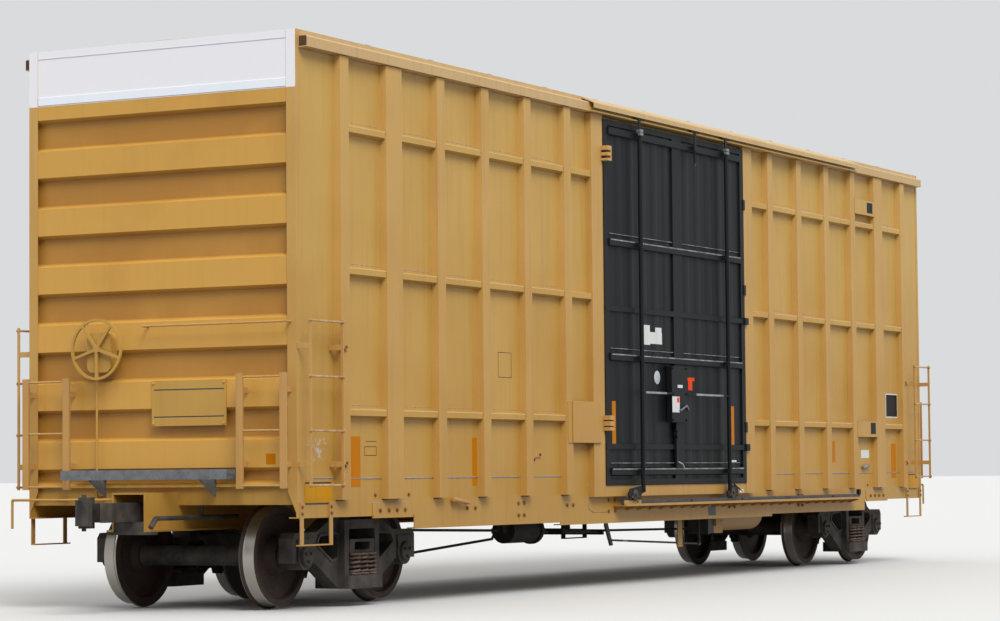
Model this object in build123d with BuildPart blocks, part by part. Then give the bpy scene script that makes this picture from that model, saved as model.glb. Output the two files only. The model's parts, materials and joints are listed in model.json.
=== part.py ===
from build123d import *
import os

os.makedirs("parts", exist_ok=True)

# A fifty-foot high-cube boxcar with one plug door on each side, in millimetres.
# X runs along the car, Z is up, and Z = 0 is the lowest point of the wheel flanges.
# Heights named *_height are measured above the rail, which is one flange depth higher.

# Wheels and axles
flange_depth = 25.4
wheel_diameter = 914.4
rim_width = 145.0
back_to_back = 1349.0
rim_thickness = 62.0
hub_radius = 140.0
hub_length = 178.0
plate_thickness = 26.0
axle_radius = 92.0
seat_radius = 104.0
journal_radius = 78.6
axle_spacing = 1778.0
journal_centres = 2006.6
truck_centres = 12446.0

# Trucks
bearing_radius = 126.0
bearing_length = 175.0
bearing_play = 0.5
adapter_thickness = 26.0
frame_width = 150.0
frame_top_height = 790.0
frame_bottom_height = 132.0
spring_seat_height = 262.0
spring_height = 206.0
spring_radius = 68.0
spring_pitch = 142.0
bolster_half_width = 222.0
bolster_end_depth = 125.0
bolster_reach = 1150.0
centre_width = 290.0
centre_drop = 14.0
seat_width = 430.0
window_top_height = 690.0
bowl_height = 654.0
bowl_radius = 203.0
bowl_play = 5.0
side_bearing_offset = 635.0
side_bearing_gap = 6.0

# Underframe
sill_inside = 327.0
sill_web = 12.0
sill_flange = 64.0
sill_bottom_height = 700.0
floor_height = 1090.0
floor_thickness = 45.0
striker_reach = 8330.0
coupler_height = 876.3
pulling_face_reach = 8900.0

# Body shell
body_half_length = 7845.0
inside_half_length = 7696.0
side_face = 1455.0
sheet_thickness = 8.0
lap_height = 1155.0
end_sill_height = 810.0
deep_sill_height = 680.0
door_sill_height = 652.0
deep_sill_reach = 5775.0
door_sill_reach = 2760.0
post_pitch = 889.0
post_depth = 70.0
post_foot_height = 965.0
chord_height = 4952.0
chord_foot_height = 4990.0
eave_height = 5148.0
ridge_height = 5180.0
roof_thickness = 24.0
seam_height = 22.0
corner_leg = 55.0
corner_thickness = 6.0
corrugation_pitch = 540.0
corrugation_depth = 60.0

# Doors
door_half_width = 1845.0
door_bottom_height = 1056.0
door_top_height = 4948.0
door_face = 1512.0
jamb_inner = 1850.0
jamb_outer = 2115.0
pipe_radius = 24.0
pipe_face = 1598.0
track_start = -1535.0
track_end = 5300.0
track_height = 836.0

rail = flange_depth
axle_z = rail + wheel_diameter / 2
deck_bottom = rail + floor_height - floor_thickness
floor_top = rail + floor_height
sill_outside = sill_inside / 2 + sill_web
truck_x = truck_centres / 2
post_face = side_face + post_depth
end_face = body_half_length - corner_thickness - 2


def up(height):
    """Turn a height above the rail into Z."""
    return rail + height


def at_x(x):
    return Plane.YZ.offset(x)


def at_y(y):
    return Plane.XZ.offset(-y)


def at_z(z):
    return Plane.XY.offset(z)


def outline(points):
    """Add the face inside these points to the open sketch."""
    Polygon(*points, align=None)


def block(x, y, z):
    """Add a block to the open part from its low and high X, Y and Z."""
    x, y, z = sorted(x), sorted(y), sorted(z)
    middle = ((x[0] + x[1]) / 2, (y[0] + y[1]) / 2, (z[0] + z[1]) / 2)
    with Locations(middle):
        Box(x[1] - x[0], y[1] - y[0], z[1] - z[0])


def rod(start, end, radius):
    """Add a round rod between two points to the open part."""
    run = Vector(*end) - Vector(*start)
    with Locations(Plane(origin=start, z_dir=run.normalized()).location):
        Cylinder(radius, run.length, align=(Align.CENTER, Align.CENTER, Align.MIN))


# Wheels and axles. Each wheel is one turned profile: flange, tapered tread, rim, plate and hub.
def build_wheels(x):
    inner = back_to_back / 2
    outer = inner + rim_width
    tread = wheel_diameter / 2
    rim_in = tread - rim_thickness
    hub_in = inner + (rim_width - hub_length) / 2 + 8
    hub_out = hub_in + hub_length
    profile = [
        (inner, rim_in),
        (inner, tread + flange_depth - 8),
        (inner + 12, tread + flange_depth),
        (inner + 34, tread + 3),
        (inner + 48, tread),
        (outer, tread - 6),
        (outer, rim_in),
        (outer - 52, rim_in - 14),
        (outer - 74, hub_radius + 40),
        (hub_out, hub_radius - 4),
        (hub_out, seat_radius),
        (hub_in, seat_radius),
        (hub_in, hub_radius - 4),
        (outer - 74 - plate_thickness, hub_radius + 40),
        (outer - 52 - plate_thickness, rim_in - 14),
    ]
    with BuildPart() as wheels:
        with BuildSketch(Plane((x, 0, axle_z), x_dir=(0, 1, 0), z_dir=(1, 0, 0))):
            outline(profile)
        revolve(axis=Axis((x, 0, axle_z), (0, 1, 0)))
        mirror(about=Plane.XZ)
    return wheels


def build_axle(x):
    hub_in = back_to_back / 2 + (rim_width - hub_length) / 2 + 8
    hub_out = hub_in + hub_length
    bearing_out = journal_centres / 2 + bearing_length / 2
    profile = [
        (0, 0),
        (0, axle_radius),
        (hub_in - 60, axle_radius),
        (hub_in, seat_radius),
        (hub_out, seat_radius),
        (hub_out + 12, journal_radius + 12),
        (hub_out + 43, journal_radius),
        (bearing_out + 6, journal_radius),
        (bearing_out + 6, journal_radius + 14),
        (bearing_out + 28, journal_radius + 8),
        (bearing_out + 30, 0),
    ]
    with BuildPart() as axle:
        with BuildSketch(Plane((x, 0, axle_z), x_dir=(0, 1, 0), z_dir=(1, 0, 0))):
            outline(profile)
        revolve(axis=Axis((x, 0, axle_z), (0, 1, 0)))
        mirror(about=Plane.XZ)
        for face in (1, -1):
            cap = Plane((x, face * (bearing_out + 24), axle_z), z_dir=(0, face, 0))
            with BuildSketch(cap):
                with PolarLocations(48, 3):
                    RegularPolygon(15, 6)
            extrude(amount=26)
    return axle


# Three-piece truck: two cast side frames, a bolster on springs, bearings and brake beams.
half_wheelbase = axle_spacing / 2
guide_depth = 14
lip_proud = 12
guide_gap = 0.3
shoe_gap = 5.5
beam_offset = half_wheelbase - wheel_diameter / 2 - shoe_gap - 62
beam_z = axle_z - 70
frame_line = journal_centres / 2
pedestal_roof = axle_z + bearing_radius + adapter_thickness
pedestal_half = bearing_radius + 16
frame_inner = frame_line - frame_width / 2
frame_outer = frame_line + frame_width / 2
window_half = bolster_half_width + 12
bolster_end_bottom = up(spring_seat_height + spring_height)
bolster_end_top = bolster_end_bottom + bolster_end_depth


def build_side_frames(x):
    jaw_foot = axle_z - 62
    frame_end = half_wheelbase + pedestal_half + 62
    column = window_half + 78
    inner_jaw = half_wheelbase - pedestal_half
    low, high = up(frame_bottom_height), up(frame_top_height)
    seat = up(spring_seat_height)
    half = [
        (0, high),
        (430, high),
        (690, pedestal_roof + 62),
        (frame_end - 40, pedestal_roof + 58),
        (frame_end, pedestal_roof + 10),
        (frame_end, jaw_foot),
        (half_wheelbase + pedestal_half, jaw_foot),
        (half_wheelbase + pedestal_half, pedestal_roof),
        (inner_jaw, pedestal_roof),
        (inner_jaw, jaw_foot),
        (inner_jaw - 60, jaw_foot - 26),
        (column + 90, low + 66),
        (column, low + 10),
        (0, low),
    ]
    light = [
        (column + 26, pedestal_roof + 36),
        (inner_jaw - 110, pedestal_roof + 20),
        (inner_jaw - 66, pedestal_roof - 50),
        (column + 120, seat + 150),
        (column + 26, seat + 170),
    ]
    # The middle of the casting is wider than its ends: two columns, a top rail and the spring seat. Its top lies
    # lower, so that it swings clear of the body bolster.
    middle = [(column, high - centre_drop), (column, low + 10), (0, low), (0, high - centre_drop)]
    with BuildPart() as frames:
        for face in (1, -1):
            for width, edge in ((frame_width, half), (centre_width, middle)):
                with BuildSketch(at_y(face * frame_line + width / 2)):
                    mirrored = [(x - u, v) for u, v in edge if u > 0][::-1]
                    outline([(x + u, v) for u, v in edge if u > 0] + mirrored)
                extrude(amount=width)
            with BuildSketch(at_z(low + 8)):
                with Locations((x, face * frame_line)):
                    RectangleRounded(2 * column - 40, seat_width, 60)
            extrude(amount=seat - low - 8)
            with BuildSketch(at_y(face * frame_line + seat_width / 2)):
                with Locations((x, (seat + up(window_top_height)) / 2)):
                    RectangleRounded(2 * window_half, up(window_top_height) - seat, 18)
            extrude(amount=seat_width, mode=Mode.SUBTRACT)
            for hand in (1, -1):
                pane = [(x + hand * u, v) for u, v in light]
                with BuildSketch(at_y(face * frame_line + frame_width / 2 + lip_proud)):
                    with BuildSketch(mode=Mode.PRIVATE) as hole:
                        outline(pane)
                        fillet(hole.vertices(), 24)
                    add(offset(hole.sketch, 22, mode=Mode.PRIVATE))
                extrude(amount=frame_width + 2 * lip_proud)
                with BuildSketch(at_y(face * frame_line + frame_width / 2 + lip_proud)):
                    add(hole.sketch)
                extrude(amount=frame_width + 2 * lip_proud, mode=Mode.SUBTRACT)
                block((x + hand * (column + 4), x + hand * (beam_offset + 50)),
                      (face * frame_inner, face * (frame_inner - guide_depth)), (beam_z - 44, beam_z + 44))
    return frames


# The bolster's flat underside starts here, just inboard of the springs.
bolster_nest = frame_line - spring_pitch - spring_radius - 20


def build_bolster(x):
    top = up(bowl_height) - 0.3
    half = [
        (0, top - 8),
        (300, top - 8),
        (560, top - 30),
        (900, bolster_end_top),
        (bolster_reach, bolster_end_top),
        (bolster_reach, bolster_end_bottom),
        (bolster_nest, bolster_end_bottom),
        (480, up(395)),
        (0, up(395)),
    ]
    bearing_top = up(sill_bottom_height) - 20 - side_bearing_gap
    with BuildPart() as bolster:
        with BuildSketch(at_x(x - bolster_half_width)):
            outline(half + [(-u, v) for u, v in half[-2:0:-1]])
        extrude(amount=2 * bolster_half_width)
        for face in (1, -1):
            with BuildSketch(at_x(x - bolster_half_width)):
                with Locations((face * 560, up(530))):
                    SlotOverall(200, 96)
            extrude(amount=2 * bolster_half_width, mode=Mode.SUBTRACT)
            pocket = Plane((x, face * bolster_reach, bolster_end_bottom + bolster_end_depth / 2),
                           x_dir=(1, 0, 0), z_dir=(0, face, 0))
            with BuildSketch(pocket):
                RectangleRounded(270, 74, 16)
            extrude(amount=-150, mode=Mode.SUBTRACT)
            block((x - 130, x + 130), (face * (side_bearing_offset - 60), face * (side_bearing_offset + 60)),
                  (up(560), bearing_top))
        with BuildSketch(at_z(top - 20)):
            with Locations((x, 0)):
                Circle(bowl_radius + bowl_play + 22)
        extrude(amount=20 + 24)
        with BuildSketch(at_z(top)):
            with Locations((x, 0)):
                Circle(bowl_radius + bowl_play)
        extrude(amount=40, mode=Mode.SUBTRACT)
    return bolster


def build_springs(x):
    with BuildPart() as springs:
        for face in (1, -1):
            with BuildSketch(at_z(up(spring_seat_height))):
                with Locations((x, face * frame_line)):
                    with GridLocations(spring_pitch, spring_pitch, 3, 3):
                        Circle(spring_radius)
            extrude(amount=spring_height)
    return springs


def build_bearings(x):
    with BuildPart() as bearings:
        for face in (1, -1):
            for end in (1, -1):
                ax = x + end * half_wheelbase
                low = face * frame_line + bearing_length / 2
                with BuildSketch(at_y(low)):
                    with Locations((ax, axle_z)):
                        Circle(bearing_radius)
                    saddle = [
                        (ax - 118, axle_z + 46),
                        (ax - 132, pedestal_roof),
                        (ax + 132, pedestal_roof),
                        (ax + 118, axle_z + 46),
                    ]
                    outline(saddle)
                    with Locations((ax, axle_z)):
                        Circle(journal_radius + bearing_play, mode=Mode.SUBTRACT)
                extrude(amount=bearing_length)
    return bearings


def build_brake_beams(x):
    tread = wheel_diameter / 2
    shoe_line = back_to_back / 2 + 92
    beam_reach = frame_inner - guide_depth - guide_gap
    with BuildPart() as beams:
        for end in (1, -1):
            for face in (1, -1):
                shoe_face = at_y(face * shoe_line + 42)
                with BuildSketch(shoe_face):
                    with Locations((x + end * half_wheelbase, axle_z)):
                        Circle(tread + shoe_gap + 46)
                        Circle(tread + shoe_gap, mode=Mode.SUBTRACT)
                    with Locations((x + end * (beam_offset + 70), beam_z)):
                        Rectangle(200, 290, mode=Mode.INTERSECT)
                extrude(amount=84)
                block((x + end * (beam_offset - 24), x + end * (beam_offset + 26)),
                      (face * (shoe_line - 30), face * (shoe_line + 30)),
                      (beam_z - 90, beam_z + 70))
            with BuildSketch(at_y(beam_reach)):
                u = x + end * beam_offset
                low, high = beam_z - 30, beam_z + 30
                outline([(u - 28, low), (u + 28, low), (u + 28, high), (u - 28, high)])
            extrude(amount=2 * beam_reach)
    return beams


# Underframe
with BuildPart() as centre_sill:
    low = up(sill_bottom_height)
    lip = 16
    foot = sill_outside + sill_flange
    sill_profile = [
        (sill_inside / 2, low),
        (foot, low),
        (foot, low + lip),
        (sill_outside, low + lip),
        (sill_outside, deck_bottom),
        (-sill_outside, deck_bottom),
        (-sill_outside, low + lip),
        (-foot, low + lip),
        (-foot, low),
        (-sill_inside / 2, low),
        (-sill_inside / 2, deck_bottom - 14),
        (sill_inside / 2, deck_bottom - 14),
    ]
    with BuildSketch(at_x(-striker_reach)):
        outline(sill_profile)
    extrude(amount=2 * striker_reach)

bolster_half_length = 180
cover_thickness = 12
with BuildPart() as body_bolsters:
    low = up(sill_bottom_height)
    arm = [
        (foot, low),
        (780, low),
        (880, up(855)),
        (side_face - 10, up(905)),
        (side_face - 10, deck_bottom),
        (sill_outside, deck_bottom),
        (sill_outside, low + lip),
        (foot, low + lip),
    ]
    for end in (1, -1):
        for face in (1, -1):
            with BuildSketch(at_x(end * truck_x - bolster_half_length)):
                outline([(face * u, v) for u, v in arm])
            extrude(amount=2 * bolster_half_length)
            block((end * truck_x - 130, end * truck_x + 130),
                  (face * (side_bearing_offset - 70), face * (side_bearing_offset + 70)),
                  (low - 20, low))
        block((end * truck_x - bolster_half_length, end * truck_x + bolster_half_length),
              (-780, 780), (low - cover_thickness, low))
        with BuildSketch(at_z(up(bowl_height))):
            with Locations((end * truck_x, 0)):
                Circle(bowl_radius)
        extrude(amount=low - cover_thickness - up(bowl_height))
        block((end * truck_x - bolster_half_length, end * truck_x + bolster_half_length),
              (-sill_inside / 2, sill_inside / 2), (low, deck_bottom - 14))

# Cross members: X place and height of the lower flange
cross_table = [
    (0, 722), (889, 880), (1778, 900), (2667, 900), (3556, 880), (4445, 722), (5334, 985), (7112, 985),
]
with BuildPart() as cross_members:
    for place, bottom in cross_table:
        for end in ((1, -1) if place else (1,)):
            for face in (1, -1):
                x = end * place
                low = up(bottom)
                flange = 80
                channel = [
                    (x, low), (x + end * flange, low), (x + end * flange, low + 10), (x + end * 10, low + 10),
                    (x + end * 10, deck_bottom - 10), (x + end * flange, deck_bottom - 10),
                    (x + end * flange, deck_bottom), (x, deck_bottom),
                ]
                start = side_face - 10 if face > 0 else -sill_outside
                with BuildSketch(at_y(start)):
                    outline(channel)
                extrude(amount=side_face - 10 - sill_outside)

end_sill_inner = 7600
end_sill_face = 7800
with BuildPart() as floor:
    block((-end_sill_inner, end_sill_inner), (10 - side_face, side_face - 10), (deck_bottom, floor_top))

with BuildPart() as end_sills:
    low = up(930)
    for end in (1, -1):
        for face in (1, -1):
            channel = [
                (end_sill_inner, low), (end_sill_face, low), (end_sill_face, floor_top),
                (end_sill_inner, floor_top), (end_sill_inner, floor_top - 12),
                (end_sill_face - 12, floor_top - 12), (end_sill_face - 12, low + 12), (end_sill_inner, low + 12),
            ]
            start = side_face - 10 if face > 0 else -sill_outside
            with BuildSketch(at_y(start)):
                outline([(end * u, v) for u, v in channel])
            extrude(amount=side_face - 10 - sill_outside)
        block((end * end_sill_inner, end * end_sill_face), (-sill_outside, sill_outside), (deck_bottom, floor_top))

# Side sills: one plate on each side, deepest under the door, with a bottom flange.
with BuildPart() as side_sills:
    reach = body_half_length - corner_thickness - 2
    edge = [
        (-reach, up(lap_height)), (-reach, up(end_sill_height)),
        (-deep_sill_reach, up(end_sill_height)), (-deep_sill_reach, up(deep_sill_height)),
        (-door_sill_reach, up(deep_sill_height)), (-door_sill_reach, up(door_sill_height)),
        (door_sill_reach, up(door_sill_height)), (door_sill_reach, up(deep_sill_height)),
        (deep_sill_reach, up(deep_sill_height)), (deep_sill_reach, up(end_sill_height)),
        (reach, up(end_sill_height)), (reach, up(lap_height)),
    ]
    # Flange table: low X, high X, height
    flanges = [
        (-reach, -deep_sill_reach, end_sill_height), (-deep_sill_reach, -door_sill_reach, deep_sill_height),
        (-door_sill_reach, door_sill_reach, door_sill_height),
        (door_sill_reach, deep_sill_reach, deep_sill_height), (deep_sill_reach, reach, end_sill_height),
    ]
    for face in (1, -1):
        with BuildSketch(at_y(side_face if face > 0 else 10 - side_face)):
            outline(edge)
        extrude(amount=10)
        for start, stop, height in flanges:
            block((start, stop), (face * (side_face - 85), face * (side_face - 10)), (up(height), up(height) + 10))

# Side sheets with three rows of short ribs between the posts.
rib_heights = (1752, 3037, 4330)
rib_face = side_face + 62
# Rib section: distance from the side sheet and height about the rib's middle
rib_section = [(side_face, -48), (rib_face, -27), (rib_face, 30), (rib_face - 8, 36), (side_face, 44)]
wide_post = 290
narrow_post = 150
# Post table: X place and width of the outer face
post_table = [(truck_x + (n - 4) * post_pitch, wide_post if n == 4 else narrow_post) for n in range(6)]
flare = 10
post_top_height = chord_foot_height - 6
with BuildPart() as side_sheets:
    for face in (1, -1):
        for end in (1, -1):
            block((end * (jamb_outer + 5), end * end_face),
                  (face * (side_face - sheet_thickness), face * side_face),
                  (up(lap_height), up(chord_height)))
            left = jamb_outer + 5
            for place, width in post_table:
                right = place - width / 2 - flare
                start, stop = (left, right) if end > 0 else (-right, -left)
                for height in rib_heights:
                    with BuildSketch(at_x(start)):
                        outline([(face * u, up(height) + v) for u, v in rib_section])
                    extrude(amount=stop - start)
                left = place + width / 2 + flare

with BuildPart() as side_posts:
    for face in (1, -1):
        for end in (1, -1):
            for place, width in post_table:
                x = end * place
                half = width / 2
                with BuildSketch(at_z(up(post_foot_height))):
                    outline([
                        (x - half - flare, face * side_face), (x + half + flare, face * side_face),
                        (x + half, face * post_face), (x - half, face * post_face),
                    ])
                extrude(amount=post_top_height - post_foot_height)

gusset_cut = [(1340, 1102), (1453, 855), (1453, end_sill_height - 5), (1340, end_sill_height - 5)]
with BuildPart() as corner_posts:
    for face in (1, -1):
        for end in (1, -1):
            outer_x, outer_y = body_half_length, side_face + corner_thickness
            angle = [
                (outer_x, outer_y), (outer_x - corner_leg, outer_y), (outer_x - corner_leg, side_face),
                (outer_x - corner_thickness - 2, side_face), (outer_x - corner_thickness - 2, outer_y - 95),
                (outer_x, outer_y - 95),
            ]
            with BuildSketch(at_z(up(end_sill_height))):
                outline([(end * u, face * v) for u, v in angle])
            extrude(amount=eave_height - end_sill_height)
            # Below the end sill the leg on the end tapers to a gusset.
            with BuildSketch(at_x(outer_x + 1 if end > 0 else 10 - outer_x)):
                outline([(face * u, up(v)) for u, v in gusset_cut])
            extrude(amount=-corner_thickness - 5, mode=Mode.SUBTRACT)

# End walls: horizontal corrugations pressed in between flat outward bands.
band_low = 1263
band_tall = 247
slope = 34
with BuildPart() as end_wall_a:
    wall_bottom = floor_top
    profile = [(inside_half_length, wall_bottom), (end_face, wall_bottom)]
    lower = band_low
    for n in range(6):
        recess_top = lower + n * corrugation_pitch
        recess_bottom = recess_top - (corrugation_pitch - band_tall) if n else floor_height + 24
        profile += [
            (end_face, up(recess_bottom)), (end_face - corrugation_depth, up(recess_bottom + slope)),
            (end_face - corrugation_depth, up(recess_top - slope)), (end_face, up(recess_top)),
        ]
    recess_top = lower + 6 * corrugation_pitch
    profile += [
        (end_face, up(recess_top - (corrugation_pitch - band_tall))),
        (end_face - corrugation_depth, up(recess_top - (corrugation_pitch - band_tall) + slope)),
        (end_face - corrugation_depth, up(recess_top - slope)), (end_face, up(recess_top)),
        (end_face, up(eave_height)),
        (inside_half_length, up(eave_height)),
    ]
    wall_half = side_face - 10
    with BuildSketch(at_y(wall_half)):
        outline([(-u, v) for u, v in profile])
    extrude(amount=2 * wall_half)
    split(bisect_by=Plane.XY.offset(up(eave_height)), keep=Keep.BOTTOM)

with BuildPart() as end_wall_b:
    add(end_wall_a.part.rotate(Axis.Z, 180))

# Top chords, door hoods and roof
chord_reach = body_half_length - corner_leg - 5
chord_face = 1548
chord_top_height = 5092
edge_fall = 14
with BuildPart() as top_chords:
    chord = [
        (side_face - sheet_thickness, up(chord_height)), (side_face, up(chord_height)),
        (side_face, up(chord_foot_height - 5)), (chord_face, up(chord_foot_height)),
        (chord_face, up(chord_top_height - edge_fall)), (chord_face - edge_fall, up(chord_top_height)),
        (side_face + 7, up(chord_top_height + 6)), (side_face + 7, up(eave_height)),
        (side_face - sheet_thickness, up(eave_height)),
    ]
    for face in (1, -1):
        with BuildSketch(at_x(-chord_reach)):
            outline([(face * u, v) for u, v in chord])
        extrude(amount=2 * chord_reach)

# The hood is one bent sheet over the door's upper track, which hangs below it with an upturned lip.
hood_start = -2200
hood_end = 5340
hood_face = 1612
hood_top_height = 5084
hood_foot_height = 5022
hood_sheet = 10
upper_rail_height = 4985
upper_rail_face = 1560
upper_shelf_face = 1590
shelf_sheet = 8
shelf_lip = 14
with BuildPart() as door_hoods:
    hood = [
        (side_face + 7, up(eave_height)), (side_face + 7, up(eave_height - 16)),
        (hood_face - hood_sheet, up(hood_top_height - 12)), (hood_face - hood_sheet, up(hood_foot_height)),
        (hood_face, up(hood_foot_height)), (hood_face, up(hood_top_height - edge_fall)),
        (hood_face - edge_fall / 2, up(hood_top_height)),
    ]
    for face in (1, -1):
        with BuildSketch(at_x(hood_start if face < 0 else -hood_end)):
            outline([(face * u, v) for u, v in hood])
        extrude(amount=hood_end - hood_start)

with BuildPart() as upper_tracks:
    shelf_top = upper_rail_height + shelf_sheet
    rail_section = [
        (chord_face, up(upper_rail_height)), (upper_shelf_face, up(upper_rail_height)),
        (upper_shelf_face, up(upper_rail_height + shelf_lip)),
        (upper_shelf_face - 5, up(upper_rail_height + shelf_lip)),
        (upper_shelf_face - 5, up(shelf_top)), (upper_rail_face, up(shelf_top)),
        (upper_rail_face, up(upper_rail_height + 50)), (chord_face, up(upper_rail_height + 50)),
    ]
    for face in (1, -1):
        with BuildSketch(at_x(hood_start if face < 0 else -hood_end)):
            outline([(face * u, v) for u, v in rail_section])
        extrude(amount=hood_end - hood_start)

seam_count = 13
seam_width = 70
with BuildPart() as roof:
    eave_y = side_face - sheet_thickness - 1
    sheet = [
        (-eave_y, up(eave_height)), (0, up(ridge_height)), (eave_y, up(eave_height)),
        (eave_y, up(eave_height - roof_thickness)), (0, up(ridge_height - roof_thickness)),
        (-eave_y, up(eave_height - roof_thickness)),
    ]
    with BuildSketch(at_x(-inside_half_length)):
        outline(sheet)
    extrude(amount=2 * inside_half_length)
    seam = [
        (-eave_y + 20, up(eave_height - 2)), (0, up(ridge_height - 2)), (eave_y - 20, up(eave_height - 2)),
        (eave_y - 20, up(eave_height + seam_height - 4)), (0, up(ridge_height + seam_height)),
        (-eave_y + 20, up(eave_height + seam_height - 4)),
    ]
    seam_pitch = 2 * inside_half_length / seam_count
    for n in range(seam_count - 1):
        with BuildSketch(at_x(-inside_half_length + (n + 1) * seam_pitch - seam_width / 2)):
            outline(seam)
        extrude(amount=seam_width)

# Door frames: jambs, threshold and header plate, then the plug doors and their gear.
threshold_height = 935
with BuildPart() as door_frames:
    for face in (1, -1):
        for end in (1, -1):
            block((end * jamb_inner, end * jamb_outer), (face * side_face, face * post_face),
                  (up(threshold_height), up(post_top_height)))
            block((end * jamb_inner, end * (jamb_outer + 5)),
                  (face * (side_face - sheet_thickness), face * side_face),
                  (up(lap_height), up(chord_height)))
        lower = [
            (face * side_face, up(threshold_height)), (face * (post_face - 6), up(threshold_height)),
            (face * (post_face - 6), up(door_bottom_height - 6)), (face * side_face, up(door_bottom_height - 6)),
        ]
        with BuildSketch(at_x(-jamb_inner)):
            outline(lower)
        extrude(amount=2 * jamb_inner)

door_beams = (1197, 2418, 3642, 4829)
door_straps = (1465, 2935)
door_lugs = (1700, 3300, 4300)
beam_tall = 92
beam_depth = 40
ledge_rise = 88
ledge_depth = 18
stile_width = 100
stile_depth = 22
ridge_pitch = 300
ridge_foot = 200
ridge_top = 60
ridge_depth = 7
strap_tall = 56
strap_depth = 28
with BuildPart() as door_right:
    inner_face = side_face - sheet_thickness
    door_mid = (up(door_bottom_height) + up(door_top_height)) / 2
    door_tall = door_top_height - door_bottom_height
    beam_reach = door_half_width - stile_width
    block((-door_half_width, door_half_width), (-door_face, -side_face - 2),
          (up(door_bottom_height), up(door_top_height)))
    block((-door_half_width + 22, door_half_width - 22), (-side_face - 2, -inner_face),
          (up(lap_height) + 5, up(door_top_height) - 6))
    with BuildSketch(at_y(-door_face)):
        with Locations((0, door_mid)):
            Rectangle(2 * door_half_width, door_tall)
            Rectangle(2 * beam_reach, door_tall - 2 * 60, mode=Mode.SUBTRACT)
            Rectangle(240, door_tall)
    extrude(amount=stile_depth)
    # Pressed vertical ridges stiffen the panels between the beams.
    for hand in (1, -1):
        for n in range(5):
            x = hand * (265 + n * ridge_pitch)
            with BuildSketch(at_z(up(door_bottom_height) + 60)):
                outline([
                    (x - ridge_foot / 2, -door_face), (x + ridge_foot / 2, -door_face),
                    (x + ridge_top / 2, -door_face - ridge_depth), (x - ridge_top / 2, -door_face - ridge_depth),
                ])
            extrude(amount=door_tall - 120)
    for height in door_beams:
        mid = up(height)
        beam = [
            (-door_face, mid - beam_tall / 2), (-door_face - beam_depth, mid - beam_tall / 2 + 12),
            (-door_face - beam_depth, mid + beam_tall / 2 - 12), (-door_face, mid + beam_tall / 2),
        ]
        with BuildSketch(at_x(-beam_reach)):
            outline(beam)
        extrude(amount=2 * beam_reach)
    for height in door_beams[:-1]:
        block((-beam_reach, beam_reach), (-door_face - ledge_depth, -door_face),
              (up(height + ledge_rise), up(height + ledge_rise + 8)))
    for height in door_straps:
        low = up(height) - strap_tall / 2
        block((-door_half_width, door_half_width), (-door_face - strap_depth, -door_face), (low, low + strap_tall))
        block((door_half_width - 40, door_half_width + 55), (-post_face - 34, -post_face - 2),
              (low - 12, low + strap_tall + 12))
    for height in door_lugs:
        block((door_half_width - 30, door_half_width + 26), (-post_face - 18, -post_face - 2),
              (up(height - 60), up(height + 60)))

with BuildPart() as door_left:
    add(door_right.part.rotate(Axis.Z, 180))

beam_face = door_face + beam_depth
rod_height = 2050
rod_radius = 12
roller_radius = 52
roller_width = 34
rail_top = up(891)
plate_back = 1588
plate_face = 1600
pipe_foot_height = 975
pipe_top_height = 4905
hanger_x = 370
hanger_roller = 22
left_pipe = -1080
right_pipe = 1213
# Roller carriages: X place of the lock pipe that carries it and of its roller
carriage_table = [(left_pipe, -1290), (right_pipe, 1290)]
# Lock box: low X, high X, low and high height
lock_box = (-330, 70, 1735, 2355)
with BuildPart() as door_gear_right:
    for x, wheel_x in carriage_table:
        with BuildSketch(at_z(up(pipe_foot_height))):
            with Locations((x, -pipe_face)):
                Circle(pipe_radius)
        extrude(amount=pipe_top_height - pipe_foot_height)
        for height in door_beams:
            mid = up(height)
            block((x - 44, x + 44), (-pipe_face, -beam_face), (mid - 26, mid + 26))
        hand = 1 if wheel_x > x else -1
        with BuildSketch(at_y(-plate_back)):
            outline([
                (x - 30 * hand, up(1045)), (x + 30 * hand, up(1045)), (wheel_x + 110 * hand, up(1015)),
                (wheel_x + 165 * hand, up(960)), (wheel_x + 130 * hand, up(900)), (wheel_x - 130 * hand, up(900)),
                (wheel_x - 165 * hand, up(960)), (x - 30 * hand, up(pipe_foot_height)),
            ])
        extrude(amount=plate_face - plate_back)
        rod((wheel_x, -plate_face, rail_top + roller_radius), (wheel_x, -plate_back + roller_width + 2,
            rail_top + roller_radius), roller_radius / 4)
        rod((wheel_x, -plate_back + 2, rail_top + roller_radius), (wheel_x, -plate_back + 2 + roller_width,
            rail_top + roller_radius), roller_radius)
    # Hangers pass the lip of the upper track and roll on its shelf, under the hood.
    hanger_back = plate_face - 9
    roller_z = up(upper_rail_height + shelf_sheet) + hanger_roller
    for x, foot in ((left_pipe, pipe_top_height - 45), (hanger_x, 4800), (right_pipe, pipe_top_height - 45)):
        block((x - 26, x + 26), (-plate_face, -hanger_back), (up(foot), roller_z + 25))
        block((x - 110, x + 110), (-plate_face, -hanger_back),
              (up(upper_rail_height + 17), up(upper_rail_height + 35)))
        rod((x, -hanger_back, roller_z), (x, -upper_shelf_face + 7, roller_z), 7)
        rod((x, -upper_shelf_face + 7, roller_z), (x, -upper_rail_face - 8, roller_z), hanger_roller)
    block((hanger_x - 26, hanger_x + 26), (-plate_face, -beam_face), (up(4803), up(4850)))
    rod((hanger_x, -1590, up(4620)), (hanger_x, -1590, up(4803)), rod_radius)
    left, right, low, high = lock_box
    block((left, right), (-plate_face, -door_face - stile_depth), (up(low), up(high)))
    rod((left_pipe, -pipe_face, up(rod_height)), (left, -pipe_face, up(rod_height)), rod_radius)
    rod((right, -pipe_face, up(rod_height)), (right_pipe, -pipe_face, up(rod_height)), rod_radius)
    block((-150, -90), (-door_face - 54, -door_face - strap_depth - 2), (up(1240), up(low)))
    rod((-120, -door_face - stile_depth, up(1600)), (-120, -door_face - 66, up(1600)), 42)

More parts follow.
